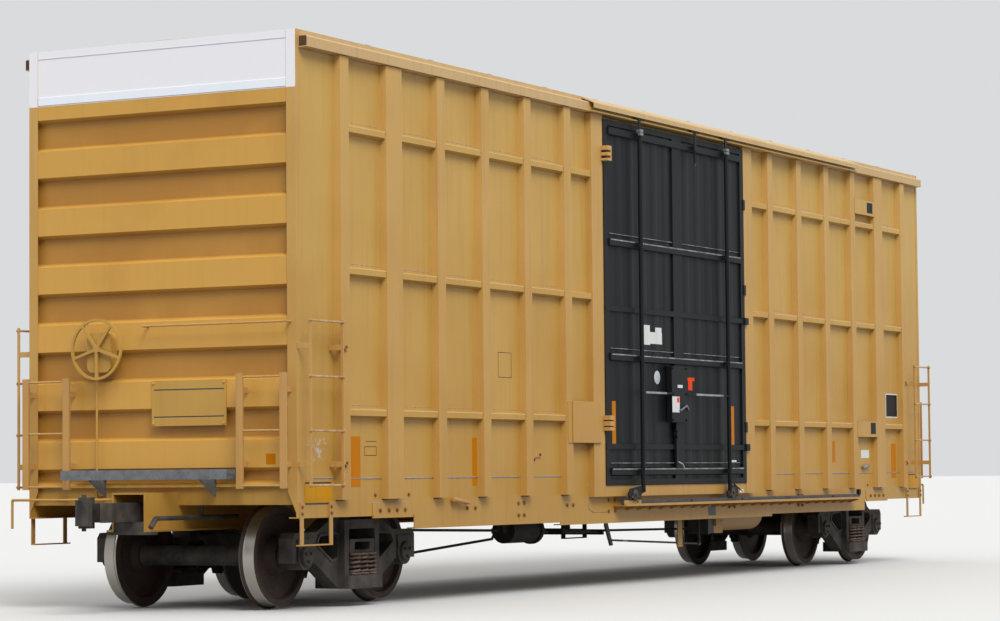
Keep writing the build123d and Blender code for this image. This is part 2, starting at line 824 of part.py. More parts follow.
with BuildPart() as door_gear_left:
    add(door_gear_right.part.rotate(Axis.Z, 180))

lip_tall = 26
bracket_count = 25
bracket_pitch = 280
with BuildPart() as door_tracks:
    low = up(track_height - 8)
    shelf = [
        (side_face, low), (1612, low), (1612, low + lip_tall), (1604, low + lip_tall), (1604, low + 8),
        (1580, low + 8), (1580, rail_top), (1558, rail_top), (1558, low + 8), (side_face, low + 8),
    ]
    bracket = [(side_face, low), (side_face, low - 45), (side_face + 14, low - 45), (1590, low - 8), (1590, low)]
    for face in (1, -1):
        start = track_start if face < 0 else -track_end
        with BuildSketch(at_x(start)):
            outline([(face * u, v) for u, v in shelf])
        extrude(amount=track_end - track_start)
        for n in range(bracket_count):
            with BuildSketch(at_x(start + 40 + n * bracket_pitch)):
                outline([(face * u, v) for u, v in bracket])
            extrude(amount=10)

# Ladders, grab irons and steps
rung_radius = 10
side_rungs = (1098, 1581, 2062, 2555)
end_rungs = (1100, 1587, 2062)
stand_off = 1575
with BuildPart() as side_ladders:
    for face in (1, -1):
        for end in (1, -1):
            outer_x, inner_x = end * 7805, end * 7215
            for height in side_rungs:
                rod((outer_x, face * stand_off, up(height)), (inner_x, face * stand_off, up(height)), rung_radius)
            block((outer_x - 6, outer_x + 6), (face * 1540, face * 1600), (up(1060), up(2595)))
            block((inner_x - 6, inner_x + 6), (face * 1545, face * 1600), (up(1060), up(2595)))
            for height in (1285, 2330):
                block((outer_x - 6, outer_x + 6), (face * (side_face + corner_thickness), face * 1540),
                      (up(height - 25), up(height + 25)))
                block((end * 7182, end * 7215), (face * post_face, face * (post_face + 8)),
                      (up(height - 25), up(height + 25)))
                block((inner_x - 6, inner_x + 6), (face * post_face, face * 1545),
                      (up(height - 25), up(height + 25)))

ladder_face = body_half_length + 125
with BuildPart() as end_ladders:
    for face in (1, -1):
        for end in (1, -1):
            for y in (945, 1403):
                block((end * (ladder_face - 55), end * (ladder_face + 12)), (face * (y - 5), face * (y + 5)),
                      (up(1075), up(2095)))
                block((end * (ladder_face), end * (ladder_face + 12)), (face * (y - 35), face * (y + 35)),
                      (up(1075), up(2095)))
            for height in end_rungs:
                rod((end * ladder_face, face * 945, up(height)), (end * ladder_face, face * 1403, up(height)),
                    rung_radius)
            for height in (1290, 1950):
                block((end * body_half_length, end * (ladder_face - 55)), (face * 1398, face * 1408),
                      (up(height - 25), up(height + 25)))
                block((end * end_face, end * (ladder_face - 55)), (face * 940, face * 950),
                      (up(height - 25), up(height + 25)))

with BuildPart() as end_grab_irons:
    for end in (1, -1):
        x = end * (body_half_length + 90)
        rod((x, -end * 134, up(2547)), (x, end * 1400, up(2547)), rung_radius)
        for y, foot_x in ((-end * 124, end_face), (end * 1400, body_half_length)):
            rod((end * foot_x, y, up(2547)), (x + end * rung_radius, y, up(2547)), rung_radius)

step_face = side_face + corner_thickness + 12
with BuildPart() as sill_steps:
    for face in (1, -1):
        for end in (1, -1):
            near, far = end * 7780, end * 7290
            for x in (near, far):
                seat = side_face + corner_thickness if x == near else side_face
                block((x - 25, x + 25), (face * seat, face * step_face), (up(820), up(950)))
                block((x - 25, x + 25), (face * (step_face - 12), face * step_face), (up(575), up(820)))
            block((min(near, far) - 25, max(near, far) + 25), (face * (step_face - 50), face * step_face),
                  (up(565), up(577)))

platform_height = 1250
platform_half = 900
with BuildPart() as crossover_platforms:
    for end in (1, -1):
        inner, outer = end_face + 30, end_face + 285
        top = up(platform_height)
        for x in (inner, outer - 8):
            block((end * x, end * (x + 8)), (-platform_half, platform_half), (top - 90, top))
        for n in range(13):
            y = -platform_half + n * (2 * platform_half - 8) / 12
            block((end * inner, end * outer), (y, y + 8), (top - 40, top))
        for y in (-600, 600):
            bracket = [(end_face, top - 60), (outer - 4, top - 60), (outer - 4, top - 90), (end_face, top - 250)]
            with BuildSketch(at_y(y + 5)):
                outline([(end * u, v) for u, v in bracket])
            extrude(amount=10)

# Couplers with knuckles, draft gears and uncoupling levers. The knuckle closes on the pulling face.
coupler_z = up(coupler_height)
coupler_pivot = 7740.0
butt_radius = 75
head_back = pulling_face_reach - 250


def build_coupler(end):
    p = pulling_face_reach
    plan = [
        (coupler_pivot, -62), (head_back - 60, -62), (head_back + 30, -150), (p - 130, -178), (p - 96, -150),
        (p - 96, -60), (p - 90, 30), (p - 62, 84), (p + 62, 150), (p + 52, 196), (p - 60, 190),
        (head_back + 40, 130),
        (head_back - 60, 62), (coupler_pivot, 62),
    ]
    with BuildPart() as coupler:
        with BuildSketch(at_z(coupler_z - 84)):
            outline([(end * u, end * v) for u, v in plan])
            with Locations((end * coupler_pivot, 0)):
                Circle(butt_radius)
        extrude(amount=168)
        lug = [(p - 150, -176), (p - 96, -176), (p - 30, -150), (p - 30, -76), (p - 96, -60), (p - 150, -60)]
        for low in (coupler_z - 136, coupler_z + 84 + 30):
            with BuildSketch(at_z(low)):
                outline([(end * u, end * v) for u, v in lug])
            extrude(amount=22)
        block((end * (p - 150), end * (p - 97)), (end * -176, end * -60), (coupler_z - 136, coupler_z + 136))
        with Locations((end * (p - 62), end * -112, coupler_z)):
            Cylinder(20.5, 400, mode=Mode.SUBTRACT)
    return coupler


def build_knuckle(end):
    p = pulling_face_reach
    pivot = (p - 62, -112)
    hook = [
        (p - 94, -146), (p - 20, -152), (p + 40, -132), (p + 74, -84), (p + 66, -34), (p + 34, 6), (p, 22),
        (p, -52), (p - 40, -72), (p - 94, -72),
    ]
    with BuildPart() as knuckle:
        with BuildSketch(at_z(coupler_z - 113)):
            outline([(end * u, end * v) for u, v in hook])
        extrude(amount=226)
        with BuildSketch(at_z(coupler_z - 160)):
            with Locations((end * pivot[0], end * pivot[1])):
                Circle(20)
        extrude(amount=320)
    return knuckle


with BuildPart() as draft_gears:
    for end in (1, -1):
        block((end * 6720, end * (coupler_pivot - butt_radius - 8)), (-sill_inside / 2, sill_inside / 2),
              (coupler_z - 160, deck_bottom - 14))
        block((end * (coupler_pivot - butt_radius - 8), end * (coupler_pivot - butt_radius - 0.3)), (-120, 120),
              (coupler_z - 90, coupler_z + 90))

with BuildPart() as coupler_carriers:
    for end in (1, -1):
        low = up(sill_bottom_height)
        block((end * (striker_reach - 110), end * striker_reach),
              (-sill_outside - sill_flange, sill_outside + sill_flange),
              (low - 26, low))
        block((end * (striker_reach - 90), end * (striker_reach - 10)), (-sill_inside / 2, sill_inside / 2),
              (low, coupler_z - 90))

with BuildPart() as uncoupling_levers:
    for end in (1, -1):
        z = up(985)
        x = end * 8270
        rod((x, end * -180, z), (x, end * -1330, z), 12)
        rod((x, end * -1330, z), (x, end * -1330, z - 260), 12)
        block((end * end_sill_face, x), (end * -1060, end * -1050), (z - 24, z + 14))
        block((end * end_sill_face, x), (end * -330, end * -320), (z - 24, z + 14))

# Air brake gear under the floor, and the hand brake on the A end
reservoir_y = -1010
reservoir_start = 1797
with BuildPart() as air_reservoir:
    radius = 190
    z = up(682)
    with BuildSketch(Plane((reservoir_start, reservoir_y, z), x_dir=(1, 0, 0), z_dir=(0, -1, 0))):
        outline([(0, 0), (0, 120), (60, radius), (1260, radius), (1320, 120), (1320, 0)])
    revolve(axis=Axis((0, reservoir_y, z), (1, 0, 0)))
    for x in (reservoir_start + 240, reservoir_start + 1000):
        block((x, x + 50), (reservoir_y - 110, reservoir_y + 110), (z + 130, deck_bottom))

with BuildPart() as control_valve:
    block((1390, 1790), (-1240, -1020), (up(475), up(700)))
    block((1560, 1690), (-1262, -1240), (up(560), up(680)))
    block((1340, 1390), (-1260, -1000), (up(468), deck_bottom))
    block((1340, 1390), (-1260, -700), (up(690), up(722)))

# The brake cylinder pushes the near lever; the rods run from the levers to the trucks.
cylinder_y = -560
cylinder_radius = 135
cylinder_z = up(585)
pull_rod_y = 300
lever_rod_y = -700
pull_y = 90
loop_start = -1240
loop_end = -712
loop_foot_height = 472
loop_sheet = 12
with BuildPart() as brake_rigging:
    rod((-2350, cylinder_y, cylinder_z), (-1750, cylinder_y, cylinder_z), cylinder_radius)
    rod((-1750, cylinder_y, cylinder_z), (-1700, cylinder_y, cylinder_z), cylinder_radius + 20)
    for x in (-2240, -1940):
        block((x - 20, x + 20), (cylinder_y - 80, cylinder_y + 80), (cylinder_z, deck_bottom))
    block((-2460, -2350), (cylinder_y - 60, cylinder_y + 60), (up(560), up(690)))
    block((-2460, -1900), (cylinder_y - 90, cylinder_y - 70), (up(640), up(760)))
    rod((-1700, cylinder_y, cylinder_z), (-1330, cylinder_y, cylinder_z - 25), 28)
    block((-1360, -1320), (lever_rod_y - 60, pull_y + 30), (up(530), up(590)))
    block((-400, -360), (lever_rod_y - 60, pull_y + 30), (up(500), up(560)))
    rod((-1340, lever_rod_y, up(560)), (-700, lever_rod_y, up(545)), 28)
    rod((-700, lever_rod_y, up(545)), (-380, lever_rod_y, up(530)), 15)
    rod((-1340, pull_y, up(545)), (-2120, -pull_rod_y, up(492)), 14)
    rod((-2120, -pull_rod_y, up(492)), (-4640, -pull_rod_y, up(345)), 14)
    rod((-2460, cylinder_y, up(590)), (-4600, cylinder_y, up(640)), 14)
    rod((-380, pull_y, up(530)), (4700, pull_y, up(470)), 14)
    block((-400, -360), (-340, -300), (up(560), deck_bottom))
    block((-1360, -1320), (-340, -300), (up(590), deck_bottom))
    # Safety loop of flat bar that would catch a dropped rod
    for x in (loop_start, loop_end - loop_sheet):
        block((x, x + loop_sheet), (lever_rod_y - 25, lever_rod_y + 25), (up(loop_foot_height), deck_bottom))
    block((loop_start, loop_end), (lever_rod_y - 25, lever_rod_y + 25),
          (up(loop_foot_height), up(loop_foot_height) + loop_sheet))

# A hanging lever, a plate hanger and a thin hanger, joined by the rod that works the reservoir's drain
lever_y = -1170
lever_foot = (-1015, 455)
hanger_plate = (700, 385)
thin_hanger = (1270, 362)
hanger_half = 60
with BuildPart() as hand_lever:
    with BuildSketch(at_y(lever_y + 10)):
        outline([
            (-1170, deck_bottom), (-1170, up(610)), (-1045, up(395)), (-985, up(400)), (-1110, up(640)),
            (-1110, deck_bottom),
        ])
    extrude(amount=20)
    block((hanger_plate[0] - hanger_half, hanger_plate[0] + hanger_half), (lever_y - 30, lever_y - 18),
          (up(339), deck_bottom))
    for (x, height), (far_x, far_height) in ((lever_foot, hanger_plate), (hanger_plate, thin_hanger)):
        rod((x, lever_y - 10, up(height)), (far_x, lever_y - 10, up(far_height)), 11)
    rod((thin_hanger[0], lever_y - 10, up(thin_hanger[1] - 14)), (thin_hanger[0], lever_y - 10, deck_bottom), 9)
    rod((thin_hanger[0] - 60, lever_y - 10, up(366)), (thin_hanger[0], lever_y - 10, up(362)), 20)

with BuildPart() as hand_brake:
    y = 600
    x = -end_face
    z = up(2320)
    with BuildSketch(Plane((x, y, z), x_dir=(0, 1, 0), z_dir=(-1, 0, 0))):
        RectangleRounded(260, 360, 60)
    extrude(amount=110)
    with BuildSketch(Plane((x - 110, y, z + 30), x_dir=(0, 1, 0), z_dir=(-1, 0, 0))):
        Circle(34)
    extrude(amount=44)
    with BuildSketch(Plane((x - 130, y, z + 30), x_dir=(0, 1, 0), z_dir=(-1, 0, 0))):
        Circle(280)
        Circle(256, mode=Mode.SUBTRACT)
        for turn in range(5):
            with Locations(Location((0, 0), 72 * turn)):
                with Locations((0, 140)):
                    Rectangle(26, 250)
    extrude(amount=22)
    rod((x - 55, y + 60, z - 150), (x - 55, y + 60, up(1000)), 11)
    block((-end_sill_face, x - 70), (y + 45, y + 75), (up(985), up(1012)))

with BuildPart() as brake_pipes:
    for end in (1, -1):
        y = end * 330
        rod((end * 7080, y, up(820)), (end * 8380, y, up(820)), 21)
        rod((end * 8380, y, up(820)), (end * 8460, y, up(740)), 24)
        block((end * 7640, end * 7680), (y - 10, y + 10), (up(820), up(930)))

# Boards, jacking pads and door stops on the sides. Tables give low X, high X, low and high height.
board_table = [(-2717, -2023, 1498, 1926), (5395, 6085, 4465, 4658), (5395, 6085, 1613, 1814)]
pad_table = [(-6551, -5820, 790, 930), (5820, 6551, 790, 930)]
stop_table = [(-2095, -1824, 4504, 4636), (-2157, -1847, 1631, 1790)]
stop_face = 1620
hook_reach = 45
hook_start = (-5050, 940)
hook_stop = (-4790, 908)
with BuildPart() as side_boards:
    for face in (1, -1):
        for left, right, low, high in board_table:
            x = (left, right) if face < 0 else (-right, -left)
            block(x, (face * post_face, face * (post_face + 8)), (up(low), up(high)))
        for left, right, low, high in pad_table:
            block((left, right), (face * side_face, face * (side_face + 8)), (up(low) + 30, up(high)))
            block((left, right), (face * side_face, face * (side_face + 16)),
                  (up(end_sill_height) - 20, up(end_sill_height) + 12))
        # Rope hook: a bar on two feet, to which a cable is hooked to pull the car
        hook_y = face * (side_face + hook_reach)
        rod((-face * hook_start[0], hook_y, up(hook_start[1])),
            (-face * hook_stop[0], hook_y, up(hook_stop[1])), 15)
        for x, height in (hook_start, hook_stop):
            rod((-face * x, face * side_face, up(height)), (-face * x, hook_y, up(height)), 15)

with BuildPart() as door_stops:
    for face in (1, -1):
        for left, right, low, high in stop_table:
            for height in (low + 5, (low + high) / 2, high - 5):
                shelf = (up(height) - 5, up(height) + 5)
                block((-face * left, face * jamb_inner), (face * (post_face + 8), face * stop_face), shelf)
                block((face * jamb_inner, -face * right), (face * (post_face + 20), face * stop_face), shelf)
            block((-face * right, -face * (right - 10)), (face * (post_face + 20), face * stop_face),
                  (up(low), up(high)))
            block((face * 2020, face * 1960), (face * post_face, face * (post_face + 8)), (up(low), up(high)))

# A blank board on each end
end_board = (-83, 721, 1643, 2053)
with BuildPart() as end_boards:
    near, far, low, high = end_board
    for end in (1, -1):
        block((end * end_face, end * (end_face + 12)), (end * near, end * far), (up(low), up(high)))

# Assemble the trucks
places = {"a": -truck_x, "b": truck_x}
side_frames_a = build_side_frames(places["a"])
side_frames_b = build_side_frames(places["b"])
bolster_a = build_bolster(places["a"])
bolster_b = build_bolster(places["b"])
springs_a = build_springs(places["a"])
springs_b = build_springs(places["b"])
bearings_a = build_bearings(places["a"])
bearings_b = build_bearings(places["b"])
brake_beams_a = build_brake_beams(places["a"])
brake_beams_b = build_brake_beams(places["b"])
coupler_a = build_coupler(-1)
coupler_b = build_coupler(1)
knuckle_a = build_knuckle(-1)
knuckle_b = build_knuckle(1)

pieces = {
    "centre_sill": centre_sill, "body_bolsters": body_bolsters, "cross_members": cross_members, "floor": floor,
    "end_sills": end_sills, "side_sills": side_sills, "side_sheets": side_sheets, "side_posts": side_posts,
    "corner_posts": corner_posts, "end_wall_a": end_wall_a, "end_wall_b": end_wall_b, "top_chords": top_chords,
    "door_hoods": door_hoods, "roof": roof, "door_frames": door_frames, "door_left": door_left,
    "door_right": door_right, "door_gear_left": door_gear_left, "door_gear_right": door_gear_right,
    "door_tracks": door_tracks, "side_ladders": side_ladders, "end_ladders": end_ladders,
    "end_grab_irons": end_grab_irons, "sill_steps": sill_steps, "crossover_platforms": crossover_platforms,
    "coupler_a": coupler_a, "coupler_b": coupler_b, "knuckle_a": knuckle_a, "knuckle_b": knuckle_b,
    "draft_gears": draft_gears, "coupler_carriers": coupler_carriers, "uncoupling_levers": uncoupling_levers,
    "air_reservoir": air_reservoir, "control_valve": control_valve, "brake_rigging": brake_rigging,
    "hand_brake": hand_brake, "brake_pipes": brake_pipes, "side_boards": side_boards,
    "door_stops": door_stops, "end_boards": end_boards, "upper_tracks": upper_tracks, "hand_lever": hand_lever,
    "side_frames_a": side_frames_a, "side_frames_b": side_frames_b, "bolster_a": bolster_a, "bolster_b": bolster_b,
    "springs_a": springs_a, "springs_b": springs_b, "bearings_a": bearings_a, "bearings_b": bearings_b,
    "brake_beams_a": brake_beams_a, "brake_beams_b": brake_beams_b,
}
for number, x in enumerate((-truck_x - half_wheelbase, -truck_x + half_wheelbase,
                            truck_x - half_wheelbase, truck_x + half_wheelbase), start=1):
    pieces["axle_" + str(number)] = build_axle(x)
    pieces["wheels_" + str(number)] = build_wheels(x)

for label, piece in pieces.items():
    piece.part.label = label
    export_step(piece.part, "parts/" + label + ".step")
print(len(pieces), "pieces written")
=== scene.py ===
# %% [markdown]
# # A railroad boxcar
# This lesson dresses a finished CAD model of a high-cube freight car. The CAD gives every steel part its
# true size; Blender adds what CAD leaves out: paint that has stood in the sun, rust on the wheels, coil
# springs, bolts, weld seams and small plates. We work in metres, with X along the car, Z up and the wheel
# flanges at Z = 0.

# %% Load the CAD frame
import json
from math import pi, radians

import bpy
from mathutils import Euler, Matrix, Vector


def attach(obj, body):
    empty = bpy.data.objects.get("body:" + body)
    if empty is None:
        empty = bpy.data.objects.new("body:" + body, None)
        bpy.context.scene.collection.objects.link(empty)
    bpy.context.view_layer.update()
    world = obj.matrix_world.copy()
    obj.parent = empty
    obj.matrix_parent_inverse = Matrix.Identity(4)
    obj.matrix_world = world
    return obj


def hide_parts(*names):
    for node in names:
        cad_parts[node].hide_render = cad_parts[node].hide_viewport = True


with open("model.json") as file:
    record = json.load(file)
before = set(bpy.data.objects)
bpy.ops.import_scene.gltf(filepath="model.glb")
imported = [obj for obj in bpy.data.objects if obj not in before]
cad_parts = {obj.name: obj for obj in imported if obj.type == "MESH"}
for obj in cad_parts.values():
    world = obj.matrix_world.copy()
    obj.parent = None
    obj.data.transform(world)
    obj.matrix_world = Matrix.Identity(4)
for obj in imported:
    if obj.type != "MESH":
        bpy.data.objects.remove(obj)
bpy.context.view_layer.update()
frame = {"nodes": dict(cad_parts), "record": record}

nodes = frame["nodes"]

# %% [markdown]
# ## The camera
# The photograph was taken from low down with a long lens, 26 metres from the near corner of the car. A
# camera can be matched by eye, but a long lens flattens the perspective, and its length and its place are
# easily mistaken for one another. So both were solved from two standard sizes, the wheelbase of a truck and
# the distance between the trucks.

# %% Camera
camera_data = bpy.data.cameras.new("long_lens")
camera_data.lens = 106.868
camera_data.sensor_width = 36
camera_data.clip_end = 2000
camera = bpy.data.objects.new("camera", camera_data)
bpy.context.scene.collection.objects.link(camera)
camera_place = (-30.0098, -15.4318, 1.2208)
camera_yaw, camera_pitch, camera_roll = radians(28.290), radians(3.130), radians(-0.507)
turn = Euler((radians(90) + camera_pitch, 0, camera_yaw - radians(90))).to_matrix()
turn = turn @ Matrix.Rotation(camera_roll, 3, "Z")
camera.matrix_world = Matrix.Translation(camera_place) @ turn.to_4x4()
bpy.context.scene.camera = camera
bpy.context.scene.view_settings.view_transform = "Standard"
print("camera", round((Vector(camera_place) - Vector((-7.8, -1.5, 2.5))).length, 1), "m from the near corner")

# %% [markdown]
# ## Helpers for materials
# Paint charts give colours as sRGB hex, but Blender's nodes want linear light, so one function converts
# them. A second small function adds any shader node with its settings and its links in one line: an input
# can be a plain value, an output socket, or another node, whose first output is then used.


# %% Material helpers
def colour(code):
    """Turn an sRGB hex code into a linear colour."""
    parts = [int(code[n:n + 2], 16) / 255 for n in (0, 2, 4)]
    return tuple(v / 12.92 if v <= 0.04045 else ((v + 0.055) / 1.055) ** 2.4 for v in parts) + (1,)


def add_node(material, kind, settings=None, inputs=None):
    """Add one shader node with its settings, its values and its links."""
    made = material.node_tree.nodes.new("ShaderNode" + kind)
    for name, value in (settings or {}).items():
        setattr(made, name, value)
    for name, value in (inputs or {}).items():
        socket = made.inputs[name] if isinstance(name, int) else next(
            item for item in made.inputs if item.enabled and item.name == name)
        if isinstance(value, bpy.types.Node):
            value = next(item for item in value.outputs if item.enabled)
        if isinstance(value, bpy.types.NodeSocket):
            material.node_tree.links.new(value, socket)
        else:
            socket.default_value = value
    return made


def new_material(name):
    """Start a material with an empty node tree."""
    material = bpy.data.materials.new(name)
    material.use_nodes = True
    material.node_tree.nodes.clear()
    return material


def in_mm(size):
    """Noise scale, in features to the metre, for a feature of this size in millimetres."""
    return 1000 / size


print("a 60 mm pattern has scale", round(in_mm(60), 1))

# %% [markdown]
# ## Enamel
# The body and the doors are painted with alkyd enamel, sprayed over primer. Years of sun chalk it, so it
# looks paler and flatter; rain carries grime down in long faint streaks, and brake dust darkens the last
# half metre above the trucks. An image could show this, but it would repeat on a piece of this length. Noise
# in metres keeps its size on every piece: clouds of fading 900 mm wide, streaks 60 mm apart and specks of 14
# mm. The paint is also painted darker towards the sill and paler towards the eave, as painted shade where
# less sky reaches, and the same painted shade can darken recesses along another axis. The thin sheets are
# buckled every 700 mm, which a soft bump shows in the highlights. Sprayed paint has an orange peel of 1 or
# 2 mm; it is drawn at 6 mm, so that it shows. One function mixes all of this, because the yellow, the black
# and the blue differ only in their colours and their share of grime. Two smaller ones repaint the top of the
# ends and scrape the paint.


# %% A cap and a scuff in the paint
def capped(paint, tint, spread, cap):
    """Repaint what lies further along the car and higher than two distances: cap is (along, high, colour)."""
    cover = 0.94
    along = add_node(paint, "Math", {"operation": "ABSOLUTE"}, {0: spread.outputs["X"]})
    along = add_node(paint, "Math", {"operation": "GREATER_THAN"}, {0: along, 1: cap[0]})
    high = add_node(paint, "Math", {"operation": "GREATER_THAN"}, {0: spread.outputs["Z"], 1: cap[1]})
    both = add_node(paint, "Math", {"operation": "MULTIPLY"}, {0: along, 1: high})
    both = add_node(paint, "Math", {"operation": "MULTIPLY"}, {0: both, 1: cover})
    return add_node(paint, "Mix", {"data_type": "RGBA"}, {"Factor": both, "A": tint, "B": colour(cap[2])})


def scuffed(paint, tint, place, scuff):
    """Scrape pale chips of 45 mm into the paint round a place: scuff is (x, y, z, reach)."""
    reach = add_node(paint, "VectorMath", {"operation": "DISTANCE"}, {0: place, 1: scuff[:3]})
    reach = add_node(paint, "MapRange", inputs={"Value": reach.outputs["Value"], "From Max": scuff[3],
                                                "To Min": 0.16, "To Max": 0.0})
    chips = add_node(paint, "TexNoise", inputs={"Vector": place, "Scale": in_mm(45), "Detail": 5.0})
    chips = add_node(paint, "Math", {"operation": "ADD"}, {0: chips, 1: reach})
    chips = add_node(paint, "MapRange", inputs={"Value": chips, "From Min": 0.60, "From Max": 0.76,
                                                "To Max": 0.6})
    inside = add_node(paint, "Math", {"operation": "GREATER_THAN"}, {0: reach, 1: 0.001})
    chips = add_node(paint, "Math", {"operation": "MULTIPLY"}, {0: chips, 1: inside})
    return add_node(paint, "Mix", {"data_type": "RGBA"}, {"Factor": chips, "A": tint, "B": colour("C9CCD4")})


print("paint can be capped and scuffed")


# %% Weathered enamel
def enamel(name, fresh_and_shaded, faded_and_lit, grime, dirt, rough, buckle=0.006, shine=0.4, shade_span=("Z", 0.7, 5.1), cap=None,
           scuff=None):
    """Sprayed enamel: a darker and a paler colour, grime and its share, roughness, and depth of buckles in
    metres.

    Clouds mix the two colours at random. Between two places along an axis, by default from the sill up to the
    eave, the paint also turns from the darker colour to the paler one: painted shade, darker low down and in
    the recesses of the ends. It may have a cap and a scuff.
    """
    paint = new_material(name)
    place = add_node(paint, "TexCoord").outputs["Object"]
    spread = add_node(paint, "SeparateXYZ", inputs={0: place})
    cloud = add_node(paint, "TexNoise", inputs={"Vector": place, "Scale": in_mm(900), "Detail": 4.0})
    cloud = add_node(paint, "MapRange", inputs={"Value": cloud, "From Min": 0.3, "From Max": 0.7,
                                                "To Min": -0.25, "To Max": 0.25})
    # Painted shade: towards the low end of this span the paint takes its darker colour, low on the sides and
    # in the recesses of the ends.
    painted_shade = add_node(paint, "Math", {"operation": "ABSOLUTE"}, {0: spread.outputs[shade_span[0]]})
    painted_shade = add_node(paint, "MapRange", inputs={"Value": painted_shade, "From Min": shade_span[1], "From Max": shade_span[2]})
    cloud = add_node(paint, "Math", {"operation": "ADD", "use_clamp": True}, {0: painted_shade, 1: cloud})
    run_down = add_node(paint, "Mapping", inputs={"Vector": place, "Scale": (1, 1, 0.04)})
    streak = add_node(paint, "TexNoise", inputs={"Vector": run_down, "Scale": in_mm(60), "Detail": 3.0})
    streak = add_node(paint, "MapRange", inputs={"Value": streak, "From Min": 0.5, "From Max": 0.85,
                                                 "To Max": 1.3 * dirt})
    speck = add_node(paint, "TexNoise", inputs={"Vector": place, "Scale": in_mm(14), "Detail": 2.0})
    speck = add_node(paint, "MapRange", inputs={"Value": speck, "From Min": 0.66, "From Max": 0.78,
                                                "To Max": dirt})
    splash = add_node(paint, "MapRange", inputs={"Value": spread.outputs["Z"], "From Min": 1.3,
                                                 "From Max": 0.65, "To Max": 0.7 * dirt})
    soot = add_node(paint, "Math", {"operation": "ADD"}, {0: streak, 1: speck})
    soot = add_node(paint, "Math", {"operation": "ADD", "use_clamp": True}, {0: soot, 1: splash})
    tint = add_node(paint, "Mix", {"data_type": "RGBA"},
                    {"Factor": cloud, "A": colour(fresh_and_shaded), "B": colour(faded_and_lit)})
    tint = add_node(paint, "Mix", {"data_type": "RGBA"}, {"Factor": soot, "A": tint, "B": colour(grime)})
    if cap:
        tint = capped(paint, tint, spread, cap)
    if scuff:
        tint = scuffed(paint, tint, place, scuff)
    wave = add_node(paint, "TexNoise", inputs={"Vector": place, "Scale": in_mm(700), "Detail": 1.0})
    wave = add_node(paint, "Bump", inputs={"Height": wave, "Distance": buckle, "Strength": 1.0})
    peel = add_node(paint, "TexNoise", inputs={"Vector": place, "Scale": in_mm(6), "Detail": 2.0})
    peel = add_node(paint, "Bump", inputs={"Height": peel, "Distance": 0.0003, "Strength": 0.5,
                                           "Normal": wave})
    skin = add_node(paint, "BsdfPrincipled", inputs={"Base Color": tint, "Normal": peel, "Roughness": rough,
                                                    "IOR": 1.5, "Specular IOR Level": shine})
    add_node(paint, "OutputMaterial", inputs={"Surface": skin})
    return paint


print("an enamel takes two colours, a grime and a roughness")

# %% The enamels of this car
# The sheets are buckled and streaked; posts and chords are stiffer, so their highlights run straight. The
# recesses of the end walls are painted darker than their ribs, as painted shade. The top of both ends is
# white. Ladders are worn, and the black doors show dust rather than fading.
cap_height = 4.655
corner_end_leg = 7.843
cap_white = "EDEEF5"
yellow_enamel = enamel("yellow_enamel", "B18538", "C39D52", "6A5130", 0.13, 0.45,
                       scuff=(-7.50, -1.455, 1.45, 0.17))
post_enamel = enamel("post_enamel", "B48740", "C49C58", "6A5130", 0.13, 0.48, 0.002)
chord_enamel = enamel("chord_enamel", "B9955D", "C5A573", "7A6444", 0.2, 0.48, 0.002)
# Painted shade: the recesses of the end walls take the darker colour and their ribs the paler one.
end_enamel_with_recess_shade = enamel("end_enamel_with_recess_shade", "A9772F", "CB9A48", "6A4A20", 0.05, 0.42, 0.002, shade_span=("X", 7.775, 7.832),
                    cap=(7.6, cap_height, cap_white))
corner_enamel = enamel("corner_enamel", "B48740", "C49C58", "6A5130", 0.13, 0.48, 0.002,
                       cap=(corner_end_leg, cap_height, cap_white))
ladder_enamel = enamel("ladder_enamel", "B78A4C", "C49A60", "5A4226", 0.22, 0.5, 0.001)
black_enamel = enamel("black_enamel", "121315", "1B1D20", "302E2B", 0.07, 0.5, 0.003, 0.14)
blue_enamel = enamel("blue_enamel", "1E2838", "263246", "2A2A2C", 0.2, 0.45, 0.0)
white_enamel = enamel("white_enamel", "D4D5D4", "DCDDDB", "8C8880", 0.2, 0.45, 0.0)
print("enamels: yellow on sheets, posts, ends, corners and ladders; black, blue and white")

# %% [markdown]
# ## Steel
# Truck castings are never painted again after they leave the shop; they end up brown-black with brake dust
# and oil, a little lighter where they are rubbed. Springs rust on the outside of their coils. The roof and
# the walkways are galvanised, dull grey with a faint spangle. Each could have a material of its own, but one
# function serves them, because all are steel under different skins: patches of two tones, rust spots a
# quarter of their size, and a grain. The real grain of 1 or 2 mm is drawn at 8 mm, so that it shows.


# %% Steel under its skin
def steel(name, dark, light, rust, metal, rough, patch=160, grain=8):
    """Steel with a dark and a light tone, rust spots, and patch and grain sizes in millimetres."""
    skin = new_material(name)
    place = add_node(skin, "TexCoord").outputs["Object"]
    cloud = add_node(skin, "TexNoise", inputs={"Vector": place, "Scale": in_mm(patch), "Detail": 4.0})
    cloud = add_node(skin, "MapRange", inputs={"Value": cloud, "From Min": 0.35, "From Max": 0.65})
    rusty = add_node(skin, "TexNoise", inputs={"Vector": place, "Scale": in_mm(patch / 4), "Detail": 4.0})
    rusty = add_node(skin, "MapRange", inputs={"Value": rusty, "From Min": 0.52, "From Max": 0.72})
    tint = add_node(skin, "Mix", {"data_type": "RGBA"},
                    {"Factor": cloud, "A": colour(dark), "B": colour(light)})
    tint = add_node(skin, "Mix", {"data_type": "RGBA"}, {"Factor": rusty, "A": tint, "B": colour(rust)})
    rough_skin = add_node(skin, "TexNoise", inputs={"Vector": place, "Scale": in_mm(grain), "Detail": 3.0})
    rough_skin = add_node(skin, "Bump", inputs={"Height": rough_skin, "Distance": 0.001, "Strength": 0.5})
    metal_skin = add_node(skin, "BsdfPrincipled", inputs={"Base Color": tint, "Normal": rough_skin,
                                                         "Metallic": metal, "Roughness": rough})
    add_node(skin, "OutputMaterial", inputs={"Surface": metal_skin})
    return skin


print("a steel takes three tones, a metal share and a roughness")

